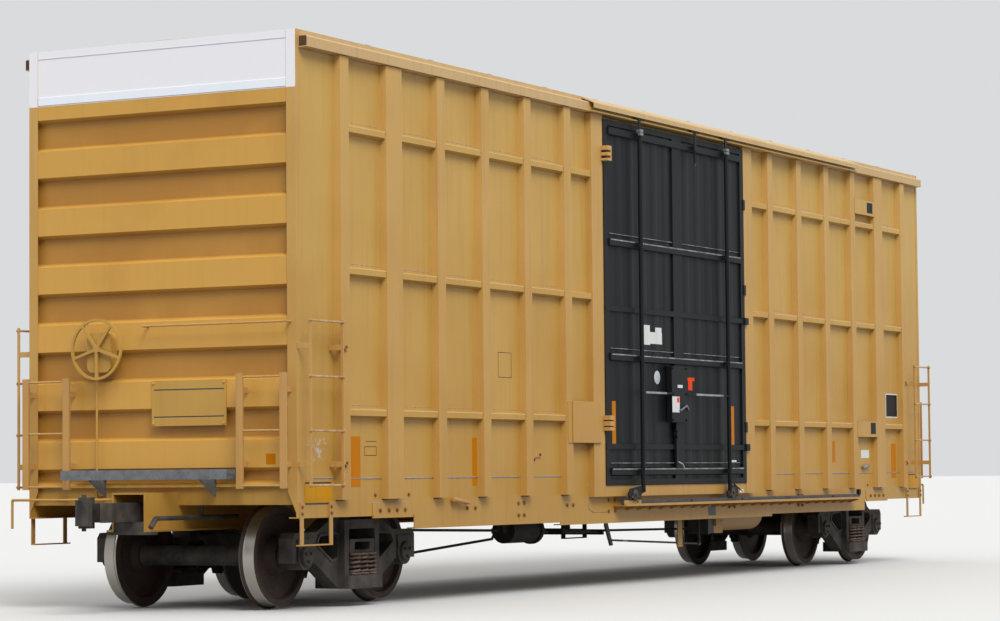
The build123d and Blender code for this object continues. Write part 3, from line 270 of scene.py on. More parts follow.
# %% The steels of this car
cast_steel = steel("cast_steel", "1F1C1A", "4E4842", "3A2C22", 0.12, 0.75, 200)  # sand cast, dark with dust
spring_steel = steel("spring_steel", "3A302A", "6E5B4E", "74503A", 0.2, 0.6, 60)  # hot coiled, rusty turns
galvanised_steel = steel("galvanised_steel", "7E8386", "979C9F", "84857F", 0.5, 0.5, 90)  # dipped in zinc
roof_steel = steel("roof_steel", "A9ADAF", "C3C6C7", "8E9193", 0.35, 0.45, 700)  # zinc sheet, pale patches
platform_steel = steel("platform_steel", "666A6E", "7A7D80", "5E5850", 0.4, 0.55, 90)  # zinc dulled by boots
rolled_steel = steel("rolled_steel", "8C8F93", "B4B7BB", "7B6C5E", 0.7, 0.4)  # bare bar, rubbed bright
rusty_steel = steel("rusty_steel", "3B2A1F", "5A3C28", "6E452B", 0.1, 0.8, 30)  # bare, brown and matt
stained_steel = steel("stained_steel", "6B472B", "8A6038", "7A4C2C", 0.05, 0.7, 30)  # rust through paint
# Painted shade: shaded_steel is black with brake dust and darkened further for the shade under the floor.
shaded_steel = steel("shaded_steel", "151312", "25221F", "2B201A", 0.05, 0.85)  # black with brake dust
worn_steel = steel("worn_steel", "B08450", "C9AE84", "7A5A3A", 0.3, 0.45, 60)  # paint worn to a pale shine
print("steels: cast, spring, galvanised, roof, platform, rolled, rusty, stained, shaded and worn")

# %% [markdown]
# ## Wheels
# A wheel is forged from one block of steel. Its plate rusts to a thin brown skin, but the tread is rolled
# bright by every turn on the rail. The faces of the tread could get a second material, but the CAD mesh
# isn't changed, so the material asks how far a point is from its axle and which way its surface looks:
# beyond the edge of the tread, where it looks away from the axle, it is polished steel, and elsewhere it is
# brown. Both trucks have two axles, so the distance along the car is folded twice.

# %% Find the tread
truck_x = 6.223
axle_height = 0.4826
half_wheelbase = 0.889
tread_edge = 0.447
wheel_steel = steel("wheel_steel", "271C17", "37271F", "43291C", 0.1, 0.75, 120)
wheel_point = add_node(wheel_steel, "TexCoord").outputs["Object"]
wheel_place = add_node(wheel_steel, "SeparateXYZ", inputs={0: wheel_point})
along = wheel_place.outputs["X"]
for middle in (0, truck_x, half_wheelbase):
    along = add_node(wheel_steel, "Math", {"operation": "SUBTRACT"}, {0: along, 1: middle})
    if middle != half_wheelbase:
        along = add_node(wheel_steel, "Math", {"operation": "ABSOLUTE"}, {0: along})
high = add_node(wheel_steel, "Math", {"operation": "SUBTRACT"}, {0: wheel_place.outputs["Z"], 1: axle_height})
flat = add_node(wheel_steel, "CombineXYZ", inputs={"X": along, "Y": high})
distance = add_node(wheel_steel, "VectorMath", {"operation": "LENGTH"}, {0: flat}).outputs["Value"]
tread = add_node(wheel_steel, "MapRange", inputs={"Value": distance, "From Min": tread_edge,
                                                  "From Max": tread_edge + 0.004})
wheel_normal = add_node(wheel_steel, "TexCoord").outputs["Normal"]
looks = add_node(wheel_steel, "SeparateXYZ", inputs={0: wheel_normal})
sideways = add_node(wheel_steel, "Math", {"operation": "ABSOLUTE"}, {0: looks.outputs["Y"]})
outwards = add_node(wheel_steel, "Math", {"operation": "LESS_THAN"}, {0: sideways, 1: 0.6})
tread = add_node(wheel_steel, "Math", {"operation": "MULTIPLY"}, {0: tread, 1: outwards})
print("tread from", tread_edge, "m out")

# %% Polish the tread
wheel_skin = next(item for item in wheel_steel.node_tree.nodes if item.type == "BSDF_PRINCIPLED")
rust_colour = wheel_skin.inputs["Base Color"].links[0].from_socket
bright = add_node(wheel_steel, "Mix", {"data_type": "RGBA"},
                  {"Factor": tread, "A": rust_colour, "B": colour("A9A49C")})
shine = add_node(wheel_steel, "MapRange", inputs={"Value": tread, "To Min": 0.1, "To Max": 0.85})
gloss = add_node(wheel_steel, "MapRange", inputs={"Value": tread, "To Min": 0.75, "To Max": 0.32})
wheel_steel.node_tree.links.new(bright.outputs[2], wheel_skin.inputs["Base Color"])
wheel_steel.node_tree.links.new(shine.outputs[0], wheel_skin.inputs["Metallic"])
wheel_steel.node_tree.links.new(gloss.outputs[0], wheel_skin.inputs["Roughness"])
print("the tread is bright and the rest of the wheel is brown")

# %% [markdown]
# ## Pieces with two finishes
# Some pieces were painted in one colour and then worked bare, or carry a bare casting. The running rail of
# the lower door track is worn to dark steel, the valve's body is bare iron beside its painted bracket, and
# the drain lever is black but hangs from a yellow plate. Each could be cut in two, but a CAD piece stays
# whole, so one function makes a material of two finishes: it shows the first inside a box, and the second
# outside of it.


# %% Two finishes on one piece
def two_finishes(name, inside, outside, low, high, rough):
    """Enamel with one pair of colours inside a box and another pair outside of it.

    The box runs from its low to its high corner, and X and Y count as distances from the middle of the car.
    """
    paint = new_material(name)
    place = add_node(paint, "TexCoord").outputs["Object"]
    spread = add_node(paint, "SeparateXYZ", inputs={0: place})
    within = 1.0
    for axis, near, far in zip("XYZ", low, high):
        away = add_node(paint, "Math", {"operation": "ABSOLUTE"}, {0: spread.outputs[axis]})
        for operation, limit in (("GREATER_THAN", near), ("LESS_THAN", far)):
            test = add_node(paint, "Math", {"operation": operation}, {0: away, 1: limit})
            within = add_node(paint, "Math", {"operation": "MULTIPLY"}, {0: test, 1: within})
    grain = add_node(paint, "TexNoise", inputs={"Vector": place, "Scale": in_mm(70), "Detail": 4.0})
    grain = add_node(paint, "MapRange", inputs={"Value": grain, "From Min": 0.3, "From Max": 0.7})
    tints = [add_node(paint, "Mix", {"data_type": "RGBA"},
                      {"Factor": grain, "A": colour(dark), "B": colour(light)})
             for dark, light in (outside, inside)]
    tint = add_node(paint, "Mix", {"data_type": "RGBA"}, {"Factor": within, "A": tints[0], "B": tints[1]})
    skin = add_node(paint, "BsdfPrincipled", inputs={"Base Color": tint, "Roughness": rough, "IOR": 1.5,
                                                    "Specular IOR Level": 0.3})
    add_node(paint, "OutputMaterial", inputs={"Surface": skin})
    return paint


yellow_pair, iron_pair = ("A97E40", "B58C4C"), ("1F1D1C", "34302D")
rail_pair = ("2A2C31", "42454A")
track_enamel = two_finishes("track_enamel", rail_pair, yellow_pair,
                            (0, 1.5575, 0.8625), (8, 1.590, 1.0), 0.45)
lever_enamel = two_finishes("lever_enamel", yellow_pair, iron_pair,
                            (0.635, 1.0, 0.0), (0.765, 1.3, 2.0), 0.5)
valve_enamel = two_finishes("valve_enamel", yellow_pair, iron_pair,
                            (1.545, 1.0, 0.0), (2.0, 1.3, 2.0), 0.5)
print("two finishes on", track_enamel.name, lever_enamel.name, valve_enamel.name)

# %% [markdown]
# ## Painting the CAD pieces
# The record gives each CAD piece a slot, such as body paint or wheel steel, and most pieces take the finish
# of their slot. They could all be painted one by one, but two tables are easier to read: one for the slots,
# and one for the pieces that differ from their slot on the real car. A CAD piece keeps its mesh; only its
# material is exchanged.

# %% Give the CAD pieces their finishes
finishes = {
    "body_paint": yellow_enamel, "door_paint": black_enamel, "galvanised": platform_steel,
    "running_gear": cast_steel, "spring_steel": spring_steel, "wheel_steel": wheel_steel,
}
own_finish = {
    "side_posts": post_enamel, "door_frames": post_enamel,
    "top_chords": chord_enamel, "door_hoods": chord_enamel,
    "corner_posts": corner_enamel, "end_wall_a": end_enamel_with_recess_shade, "end_wall_b": end_enamel_with_recess_shade, "roof": roof_steel,
    "side_ladders": ladder_enamel, "end_ladders": ladder_enamel, "end_grab_irons": ladder_enamel,
    "sill_steps": ladder_enamel, "door_tracks": track_enamel, "hand_lever": lever_enamel,
    "control_valve": valve_enamel, "brake_rigging": shaded_steel,
}
for row in frame["record"]["subparts"]:
    mesh = nodes[row["node"]].data
    mesh.materials.clear()
    mesh.materials.append(own_finish.get(row["node"], finishes[row["material_slot"]]))
print(len(nodes), "pieces painted")

# %% [markdown]
# ## Helpers for modelling
# Every new piece starts from a primitive, is shaped in edit mode, and ends with its place in its mesh. An
# edit-mode operator acts on what is selected, so one helper selects faces or edges by a test. Repeated
# things such as bolts and springs are modelled once. An array or instances could repeat them, but then they
# would share one mesh; here each copy gets its own, and the copies are joined into one piece.


# %% Select, join and finish
def pick(piece, kind, wanted):
    """Open a piece in edit mode with only the wanted faces or edges selected; kind is FACE or EDGE."""
    bpy.ops.object.mode_set(mode="EDIT")
    bpy.ops.mesh.select_mode(type=kind)
    bpy.ops.mesh.select_all(action="DESELECT")
    bpy.ops.object.mode_set(mode="OBJECT")
    for item in piece.data.polygons if kind == "FACE" else piece.data.edges:
        item.select = wanted(item)
    bpy.ops.object.mode_set(mode="EDIT")


def choose(parts, main):
    """Select these parts and nothing else, and make the main one active."""
    bpy.ops.object.select_all(action="DESELECT")
    for part in parts:
        part.select_set(True)
    bpy.context.view_layer.objects.active = main


def join(parts, main):
    """Join shaped parts into one of them, the main one."""
    choose(parts, main)
    if len(parts) > 1:
        bpy.ops.object.join()
    return main


def finish_piece(piece, name, material, body="car_body"):
    """Name a shaped piece, freeze its place into its mesh, paint it, and fix it to a body of the car."""
    choose([piece], piece)
    bpy.ops.object.transform_apply(location=True, rotation=True, scale=True)
    piece.name = piece.data.name = name
    piece.data.materials.clear()
    piece.data.materials.append(material)
    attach(piece, body)
    return piece


print("pieces are picked apart, chosen, joined and finished by four helpers")


# %% Repeat a piece
def repeat(piece, places, turns=None):
    """Copy a shaped piece to each place, join the copies, and return the joined piece."""
    copies = []
    for number, place in enumerate(places):
        twin = piece.copy()
        twin.data = piece.data.copy()
        turn = turns[number] if turns else Matrix.Identity(3)
        twin.data.transform(Matrix.Translation(place) @ turn.to_4x4())
        bpy.context.scene.collection.objects.link(twin)
        copies.append(twin)
    bpy.data.objects.remove(piece)
    return join(copies, copies[0])


def half_turn(boxes):
    """The same boxes on both sides of the car, which looks the same when it is turned by 180 degrees."""
    turned = [((-high[0], -high[1], low[2]), (-low[0], -low[1], high[2])) for low, high in boxes]
    return list(boxes) + turned


print("a piece is repeated at its places, or by half a turn of the car")


# %% Plates with broken edges
def plates(name, boxes, material, edge=0.0008, body="car_body"):
    """Thin plates between low and high corners, with broken edges, joined into one piece."""
    made = []
    for low, high in boxes:
        bpy.ops.object.select_all(action="DESELECT")
        bpy.ops.mesh.primitive_cube_add(size=1, location=[(a + b) / 2 for a, b in zip(low, high)],
                                        scale=[b - a for a, b in zip(low, high)])
        bpy.ops.object.transform_apply(location=True, rotation=True, scale=True)
        made.append(bpy.context.object)
    piece = join(made, made[-1])
    broken = piece.modifiers.new("broken_edges", "BEVEL")
    broken.width, broken.segments = edge, 2
    bpy.ops.object.modifier_apply(modifier="broken_edges")
    return finish_piece(piece, name, material, body)


print("a plate has broken edges")

# %% [markdown]
# ## Strips, plates and signs
# Reflective strips, plates and signs are thin aluminium or tape, and all are plain here. They could be
# painted into the enamel of the sheets, but a real edge catches a fine line of light, so each is a thin box
# whose edges are broken by a small bevel. The tables give the low and high places along the car and above
# the rail, as they were read off the photograph. Retroreflective tape has glass beads under a smooth film,
# which leaves its colour strong and flat.

# %% Strips
rail = 0.0254
sheet_y, board_y, door_y = -1.455, -1.533, -1.512


def on_side(table, back, thick=0.0015):
    """Turn rows of low X, high X, low Z and high Z into thin boxes that stand on a plane of both sides."""
    return half_turn([((left, back - thick, low + rail), (right, back, high + rail))
                      for left, right, low, high in table])


tape = enamel("retroreflective_tape", "B96F06", "BF760A", "8A5A22", 0.05, 0.4, 0.0, 0.05)
strip_table = [(-6.926, -6.755, 1.081, 1.538), (-4.640, -4.547, 1.075, 1.541),
               (4.700, 4.790, 1.290, 1.555), (6.745, 6.920, 1.086, 1.532)]
plates("sheet_strips", on_side(strip_table, sheet_y), tape, 0.0005)
door_strips = on_side([(-1.657, -1.567, 1.486, 1.948)], door_y)
door_strips += on_side([(1.432, 1.528, 1.481, 1.939)], door_y, 0.0085)
plates("door_strips", door_strips, tape, 0.0005)
print("strips on the sheets and the doors")

# %% Plates and signs
blue_table = [(-7.704, -7.266, 0.928, 1.128), (7.381, 7.684, 0.928, 1.133)]
plates("blue_plates", on_side(blue_table, sheet_y), blue_enamel)
plate_enamel = enamel("plate_enamel", "C58A0C", "CC9214", "5E4628", 0.12, 0.4, 0.0, 0.1)
yellow_table = [(-7.712, -7.258, 0.943, 1.113), (7.373, 7.692, 0.943, 1.118)]
plates("yellow_plates", on_side(yellow_table, sheet_y - 0.0015, 0.001), plate_enamel, 0.0004)
plates("tags", on_side([(5.813, 6.009, 4.498, 4.632), (5.833, 6.007, 1.652, 1.797)], board_y), black_enamel)
plates("sign_rim", on_side([(6.577, 7.003, 1.872, 2.187)], sheet_y), white_enamel)
plates("sign_board", on_side([(6.592, 6.988, 1.887, 2.172)], sheet_y - 0.0015, 0.001), black_enamel)
plates("stickers", on_side([(5.677, 5.954, 1.344, 1.447)], sheet_y, 0.001), white_enamel, 0.0004)
plates("sill_sign", on_side([(0.915, 1.125, 0.690, 0.790)], sheet_y), blue_enamel)
print("plates and signs are blank")

# %% Painted frames, stop board and cleats
rims = [(-6.656, -6.466, 1.492, 1.497)]
for left, right, low, high in ((-4.093, -3.813, 2.142, 2.393), (-6.682, -6.466, 1.363, 1.448)):
    rims += [(left, right, low, low + 0.005), (left, right, high - 0.005, high),
             (left, left + 0.006, low, high), (right - 0.006, right, low, high)]
plates("painted_frames", on_side(rims, sheet_y, 0.0008), black_enamel, 0.0003)
plates("stop_board", on_side([(-2.628, -1.968, 1.500, 1.930)], board_y, 0.012), post_enamel, 0.003)
plates("cleats", on_side([(-3.484, -3.335, 1.310, 1.440), (-3.336, -3.205, 1.350, 1.405)], sheet_y, 0.012),
       post_enamel, 0.002)
print("frames, stop board and cleats in place")

# %% [markdown]
# ## Small things on the doors
# The doors carry torn paper and tags, bright sleeves where the lock rods turn in their guides, and pale
# lines along the top edges of their beams and ledges, painted highlights where the edges catch the sky. A
# highlight could be a mask in the paint, but it follows the edges so closely that thin strips are simpler.
# Round things are cylinders whose rims are chamfered.


# %% Round bars
def rods(name, ends, radius, material, body="car_body"):
    """Round bars between pairs of points, with a small chamfer at each end, joined into one piece."""
    made = []
    for start, stop in ends:
        start, stop = Vector(start), Vector(stop)
        bpy.ops.object.select_all(action="DESELECT")
        bpy.ops.mesh.primitive_cylinder_add(vertices=16, radius=radius, depth=(stop - start).length,
                                            location=(start + stop) / 2,
                                            rotation=(stop - start).to_track_quat("Z", "Y").to_euler())
        bpy.ops.object.transform_apply(location=True, rotation=True, scale=True)
        made.append(bpy.context.object)
    piece = join(made, made[-1])
    rim = piece.modifiers.new("chamfered_ends", "BEVEL")
    rim.width, rim.segments = min(0.002, radius / 4), 2
    rim.limit_method, rim.angle_limit = "ANGLE", radians(60)
    bpy.ops.object.modifier_apply(modifier="chamfered_ends")
    bpy.ops.object.shade_smooth_by_angle(angle=radians(35))
    return finish_piece(piece, name, material, body)


def both_ways(ends):
    """The same bars on both sides of the car."""
    return list(ends) + [((-a[0], -a[1], a[2]), (-b[0], -b[1], b[2])) for a, b in ends]


def side_bar(y, *stops):
    """The pairs of points of a bar through its stops, (x, height above the rail), on a plane of the side."""
    return [((x0, y, z0 + rail), (x1, y, z1 + rail)) for (x0, z0), (x1, z1) in zip(stops, stops[1:])]


print("a round bar runs between two points")

# %% Tags on the doors
# Red vinyl is strong and flat; the round tag is of pale enamel, and paper is white and matt.
red_tape = enamel("red_tape", "E8440E", "F04C14", "8A3A22", 0.05, 0.4, 0.0, 0.05)
pale_enamel = enamel("pale_enamel", "B6BCC4", "C0C6CE", "6A6A6A", 0.1, 0.45, 0.0)
panel_y, lock_y, box_y = -1.519, -1.600, -1.601
paper = [(-0.890, -0.712, 2.575, 2.790), (-0.712, -0.405, 2.590, 2.718), (-0.575, -0.415, 2.718, 2.772)]
plates("torn_paper", on_side(paper, panel_y - 0.0002, 0.0008), white_enamel, 0.0003)
red_table = [(0.256, 0.440, 2.205, 2.243), (0.272, 0.380, 2.100, 2.206)]
plates("red_tag", on_side(red_table, panel_y, 0.0010), red_tape, 0.0003)
small_table = [(-0.185, -0.055, 2.117, 2.150), (1.250, 1.395, 1.297, 1.317), (1.490, 1.585, 0.945, 0.982)]
plates("small_labels", on_side(small_table, box_y, 0.0008), white_enamel, 0.0002)
plates("red_corner", on_side([(-0.205, -0.145, 1.955, 2.01)], box_y, 0.0008), red_tape, 0.0002)
plates("lock_tag", on_side([(-0.325, -0.135, 1.845, 2.02)], lock_y, 0.0010), white_enamel, 0.0003)
rods("round_tag", both_ways([((-0.537, door_y, 2.224 + rail), (-0.537, -1.5205, 2.224 + rail))]), 0.075,
     pale_enamel)
print("tags on the doors are blank")

# %% Carriages, sleeves and clamps
carriages = (-1.290, 1.290)
wheel_z = 0.968
rods("carriage_wheels", both_ways([((x, lock_y, wheel_z), (x, -1.607, wheel_z)) for x in carriages]), 0.064,
     cast_steel)
rods("carriage_pins", both_ways([((x, lock_y, wheel_z), (x, -1.613, wheel_z)) for x in carriages]), 0.018,
     black_enamel)
gear_y = -1.598
left_pipe, right_pipe = -1.080, 1.213
sleeves = side_bar(gear_y, (-1.007, 2.050), (-0.481, 2.050))
sleeves += side_bar(gear_y, (0.304, 2.050), (1.039, 2.050))
rods("rod_sleeves", both_ways(sleeves), 0.0135, rolled_steel)
clamps = [((x - 0.035, gear_y - 0.029, z + rail), (x + 0.035, gear_y + 0.020, z + 0.030 + rail))
          for x in (left_pipe, right_pipe) for z in (4.832, 4.868)]
plates("pipe_clamps", half_turn(clamps), galvanised_steel, 0.002)
print("carriages", carriages[1] - carriages[0], "m apart")

# %% Painted highlights on the beams
ledge_y, beam_y = -1.530, -1.552
# Painted highlight: pale strips along the top edges of the beams and ledges, where they catch the sky.
pale_highlight_steel = steel("pale_highlight_steel", "5E6266", "A4A8AC", "2A2B2D", 0.3, 0.5, 120)  # bare edges, pale with dark gaps
ledge_highlights = [(left, right, z, z + 0.0065) for z in (1.2855, 2.5065, 3.7305)
              for left, right in ((-1.72, -0.14), (0.14, 1.66))]
plates("ledge_highlights", on_side(ledge_highlights, ledge_y, 0.0008), pale_highlight_steel, 0.0003)
beam_highlights = [(-1.72, 1.72, z + 0.020, z + 0.033) for z in (1.197, 2.418, 3.642)]
plates("beam_highlights", on_side(beam_highlights, beam_y, 0.0008), pale_highlight_steel, 0.0003)
print("wear on", len(beam_highlights), "beams")

# %% Handle, arm and levers
lock_handle = side_bar(-1.612, (-0.150, 1.862), (0.033, 1.922), (0.075, 1.875))
rods("lock_handle", both_ways(lock_handle), 0.011, platform_steel)
carriage_arm = side_bar(-1.596, (1.330, 1.045), (1.560, 0.955))
rods("carriage_arm", both_ways(carriage_arm), 0.009, black_enamel)
hanger_tip = side_bar(-1.590, (0.370, 4.615), (0.370, 4.655))
rods("hanger_tip", both_ways(hanger_tip), 0.0135, rusty_steel)
loose_lever = side_bar(-1.575, (-0.13, 1.30), (-0.02, 1.275), (0.024, 1.231))
rods("loose_lever", both_ways(loose_lever), 0.009, rolled_steel)
print("door details in place")

# %% Hooks on the side sill
rods("hook_bars", both_ways(side_bar(-1.500, (-5.100, 0.946), (-4.880, 0.920))), 0.024, ladder_enamel)
print("a rope hook on each side")

# %% [markdown]
# ## Bolts
# A car of this kind is held together by welds, but steps, ladders, pads and brackets are bolted on. A bump
# could stand in for a bolt head from afar, but not against the light, so one bolt is modelled, a washer with
# a six-sided head whose top edge is chamfered, and copies of it are turned to face outwards.


# %% One bolt
def new_bolt(size):
    """A bolt head on its washer, standing on Z = 0 and facing up; the size is across its corners."""
    bpy.ops.object.select_all(action="DESELECT")
    bpy.ops.mesh.primitive_cylinder_add(vertices=6, radius=size / 2, depth=0.45 * size,
                                        location=(0, 0, 0.30 * size))
    head = bpy.context.object
    pick(head, "FACE", lambda face: face.normal.z > 0.9)
    bpy.ops.mesh.inset(thickness=0.08 * size)
    bpy.ops.transform.translate(value=(0, 0, 0.05 * size))
    bpy.ops.object.mode_set(mode="OBJECT")
    bpy.ops.object.select_all(action="DESELECT")
    bpy.ops.mesh.primitive_cylinder_add(vertices=14, radius=0.68 * size, depth=0.1 * size,
                                        location=(0, 0, 0.05 * size))
    join([bpy.context.object, head], head)
    bpy.ops.object.transform_apply(location=True, rotation=True, scale=True)
    return head


def bolts(name, table, size, material, body="car_body"):
    """Bolts at each place of the table, (x, y, z, way): way is where the head looks."""
    places = [row[:3] for row in table]
    turns = [Vector(row[3]).to_track_quat("Z", "Y").to_matrix() for row in table]
    piece = finish_piece(repeat(new_bolt(size), places, turns), name, material, body)
    print(name, len(places), "bolts")
    return piece


def side_bolts(table, y):
    """Turn rows of X and height above the rail into bolt places on both sides."""
    near = [(x, y, z + rail, (0, -1, 0)) for x, z in table]
    return near + [(-x, -y, z, (0, 1, 0)) for x, y, z, _ in near]


print("a bolt has a washer and a six-sided head")

# %% Bolts on the sides
pad_y, step_y = -1.463, -1.473
pad_bolts = [(x, 0.860) for x in (-6.421, -6.262, -6.111, -5.962, 5.962, 6.111, 6.262, 6.421)]
bolts("pad_bolts", side_bolts(pad_bolts, pad_y), 0.030, stained_steel)
step_bolts = [(x, z) for x in (-7.780, -7.290, 7.290, 7.780) for z in (0.850, 0.908)]
bolts("step_bolts", side_bolts(step_bolts, step_y), 0.024, stained_steel)
foot_bolts = [(-6.496, 1.002), (-5.882, 1.000), (5.882, 1.000), (6.496, 1.002)]
bolts("foot_bolts", side_bolts(foot_bolts, sheet_y), 0.026, stained_steel)
cleat_bolts = [(-3.365, 1.327), (-3.235, 1.376)]
bolts("cleat_bolts", side_bolts(cleat_bolts, sheet_y - 0.012), 0.022, rusty_steel)
sill_bolts = [(-4.750, 0.857), (-4.590, 0.857), (-3.690, 0.891), (-3.570, 0.891),
              (-3.690, 0.771), (-3.570, 0.771), (-2.617, 0.857), (-2.481, 0.857),
              (-1.650, 0.896), (-1.500, 0.896), (-1.650, 0.779), (-1.500, 0.779)]
bolts("sill_bolts", side_bolts(sill_bolts + [(-x, z) for x, z in sill_bolts], sheet_y), 0.030, stained_steel)
foot_heights = (1.285, 2.330)
ladder_bolts = [(side * x, z + up) for side in (-1, 1) for x, up in ((7.116, 0.012), (7.143, -0.012))
                for z in foot_heights]
bolts("ladder_bolts", side_bolts(ladder_bolts, board_y), 0.022, stained_steel)

# %% Bolts on the track and the doors
track_y = -1.580
track_bolts = [(x, 0.871) for x in (-1.20, 0.20, 1.60, 3.00, 4.40)]
bolts("track_bolts", side_bolts(track_bolts, track_y), 0.020, rusty_steel)
lock_bolts = [(x, z) for x in (-0.305, 0.045) for z in (1.760, 2.050, 2.330)]
bolts("lock_bolts", side_bolts(lock_bolts, lock_y), 0.022, black_enamel)
carriage_bolts = [(x + step, 0.925) for x in carriages for step in (-0.085, 0.085)]
bolts("carriage_bolts", side_bolts(carriage_bolts, lock_y), 0.026, rusty_steel)

# %% [markdown]
# ## Side ladders
# The ladders beside the corners are bent from slim steel: two flat stringers and four round rungs whose ends
# are bolted through the stringers. Boots and gloves wear the paint off the rungs, so they are paler. The
# plain ladders of the CAD could be kept, but a bar that is bent and worn looks slimmer than a square one, so
# a new piece takes their place. One table gives the ladder as distances from the middle of the car, which
# serves all four corners.

# %% Stringers at the four corners
stand_off, outer_x, inner_x = 1.595, 7.830, 7.285
rung_heights = (1.098, 1.581, 2.062, 2.555)
corners = [(along, across) for along in (-1, 1) for across in (-1, 1)]


def at_corners(boxes):
    """Boxes given as distances along, across and up, repeated at the four corners of the car."""
    made = []
    for along, across in corners:
        for (x0, y0, z0), (x1, y1, z1) in boxes:
            xs, ys = sorted((along * x0, along * x1)), sorted((across * y0, across * y1))
            made.append(((xs[0], ys[0], z0 + rail), (xs[1], ys[1], z1 + rail)))
    return made


stringers = [((x - 0.006, stand_off - 0.013, 1.072), (x + 0.006, stand_off + 0.013, 2.581))
             for x in (outer_x, inner_x)]
for z in foot_heights:
    stringers.append(((outer_x - 0.006, 1.461, z - 0.025), (outer_x + 0.006, stand_off - 0.012, z + 0.025)))
    stringers.append(((7.095, 1.525, z - 0.025), (inner_x - 0.005, -board_y, z + 0.025)))
    stringers.append(((inner_x - 0.006, -sheet_y, z - 0.025),
                      (inner_x + 0.006, stand_off - 0.012, z + 0.025)))
ladders = plates("ladder_stringers", at_corners(stringers), ladder_enamel, 0.0015)
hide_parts("side_ladders")
print("two stringers and four feet at", len(corners), "corners")

# %% Rungs and their bolts
rungs = [((along * (inner_x - 0.012), across * stand_off, z + rail),
          (along * (outer_x + 0.012), across * stand_off, z + rail))
         for along, across in corners for z in rung_heights]
rods("ladder_rungs", rungs, 0.0105, worn_steel)
rung_bolts = [(along * x, across * (stand_off + 0.010), z + rail, (0, across, 0)) for along, across in corners
              for x in (inner_x, outer_x) for z in rung_heights]
bolts("rung_bolts", rung_bolts, 0.024, ladder_enamel)
print(len(rungs), "rungs")

# %% [markdown]
# ## Door stops and track ends
# Two cast stops beside each door catch it when it is open. Each is three thick fingers with slots between
# them, closed by a strap; a box with painted slots would be quicker, but the light has to fall through them,
# so each finger is a plate of its own, and the piece takes the place of the CAD's. The paint on the first
# part of the lower track was never rubbed off, because the rollers don't reach it, and a small block ends
# the track.

# %% Stops and track ends
upper_fingers = ((4.605, 4.652), (4.545, 4.580), (4.492, 4.518))
lower_fingers = ((1.741, 1.789), (1.678, 1.728), (1.629, 1.666))
stop_boxes = []
for fingers in (upper_fingers, lower_fingers):
    for low, high in fingers:
        stop_boxes.append(((-1.890, -1.610, low + rail), (-1.808, -1.525, high + rail)))
    low, high = fingers[2][0], fingers[0][1]
    stop_boxes.append(((-1.812, -1.612, low + rail), (-1.798, -1.545, high + rail)))
castings = plates("door_stop_castings", half_turn(stop_boxes), ladder_enamel, 0.003)
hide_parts("door_stops")
plates("track_start", half_turn([((-1.520, -1.5825, 0.862), (-1.105, -1.5795, 0.916))]), yellow_enamel, 0.001)
plates("track_end_block", half_turn([((5.225, -1.600, 0.905), (5.290, -1.560, 0.975))]), black_enamel, 0.004)
rods("far_clip", both_ways(side_bar(-1.480, (5.670, 1.222), (5.900, 1.252))), 0.018, galvanised_steel)
print("stops and track ends in place")

# %% [markdown]
# ## The ends
# The white panel at the top of each end has a pressed lip below it and a seam near its upper edge. They
# could be lines in the paint, but each throws a small shadow, so they are thin plates; the lip is painted a
# little bluer than the panel, a painted highlight along its fold. Beside the corner posts, a dark plate
# closes
# the end of each chord: painted shade, for the dark inside of its open section. Each end also carries an
# orange reflector on its ladder side and a blank board, which is bolted on at its corners and has two thin
# painted lines.

# %% Lips, seams and painted shade at the chord ends
end_x = 7.837


def on_end(table, away, thick=0.0015):
    """Turn rows of low Y, high Y, low Z and high Z into thin boxes on a plane of both ends."""
    return half_turn([((-away - thick, near, low + rail), (-away, far, high + rail))
                      for near, far, low, high in table])


# Painted highlight: the lip is a little bluer than the white panel above it, for the light along its fold.
lip_highlight_enamel = enamel("lip_highlight_enamel", "E4EBF3", "EAF0F6", "B8B8B8", 0.05, 0.4, 0.0)
plates("panel_lips", on_end([(-1.360, 1.360, 4.640, 4.715)], end_x, 0.006), lip_highlight_enamel, 0.002)
plates("panel_seams", on_end([(-1.360, 1.360, 5.070, 5.077)], end_x, 0.003), pale_enamel, 0.001)
# Painted shade: a dark plate on the end of each chord stands for the dark inside of its open section.
plates("chord_end_shade", at_corners([((7.7848, 1.4665, 4.997), (7.7862, 1.5460, 5.087))]), rusty_steel, 0.0005)
print("white panels lipped and seamed")

# %% Reflectors and boards
plates("end_reflectors", on_end([(-1.233, -1.134, 1.289, 1.384)], end_x), tape, 0.0005)
board_lines = [(-0.70, 0.06, 1.965, 1.975), (-0.70, 0.06, 1.720, 1.730)]
plates("board_lines", on_end(board_lines, end_x + 0.012, 0.0006), blue_enamel, 0.0002)
board_bolts = [(-7.849, y, z + rail, (-1, 0, 0)) for y in (-0.700, 0.062) for z in (1.665, 2.030)]
board_bolts += [(-x, -y, z, (1, 0, 0)) for x, y, z, _ in board_bolts]
bolts("board_bolts", board_bolts, 0.020, end_enamel_with_recess_shade)
print("ends dressed")

# %% [markdown]
# ## Welds
# Plates are joined by fillet welds, whose bead is a row of small overlapping ripples. A bump could draw
# them, but a seam would stay ruler straight. Here a long weld is a slim six-sided bar, cut across every few
# centimetres, and its corners are pushed about a little. Paint over a weld is thinner and holds more dust,
# so the bead reads darker. The laps of the sheets are sealed in grey, which dust makes paler.

# %% Weld beads
weld_enamel = enamel("weld_enamel", "A97C42", "B08850", "5A4630", 0.35, 0.55, 0.0)
seam_paint = enamel("seam_paint", "8F8D92", "A09D9E", "6A6256", 0.3, 0.5, 0.0)


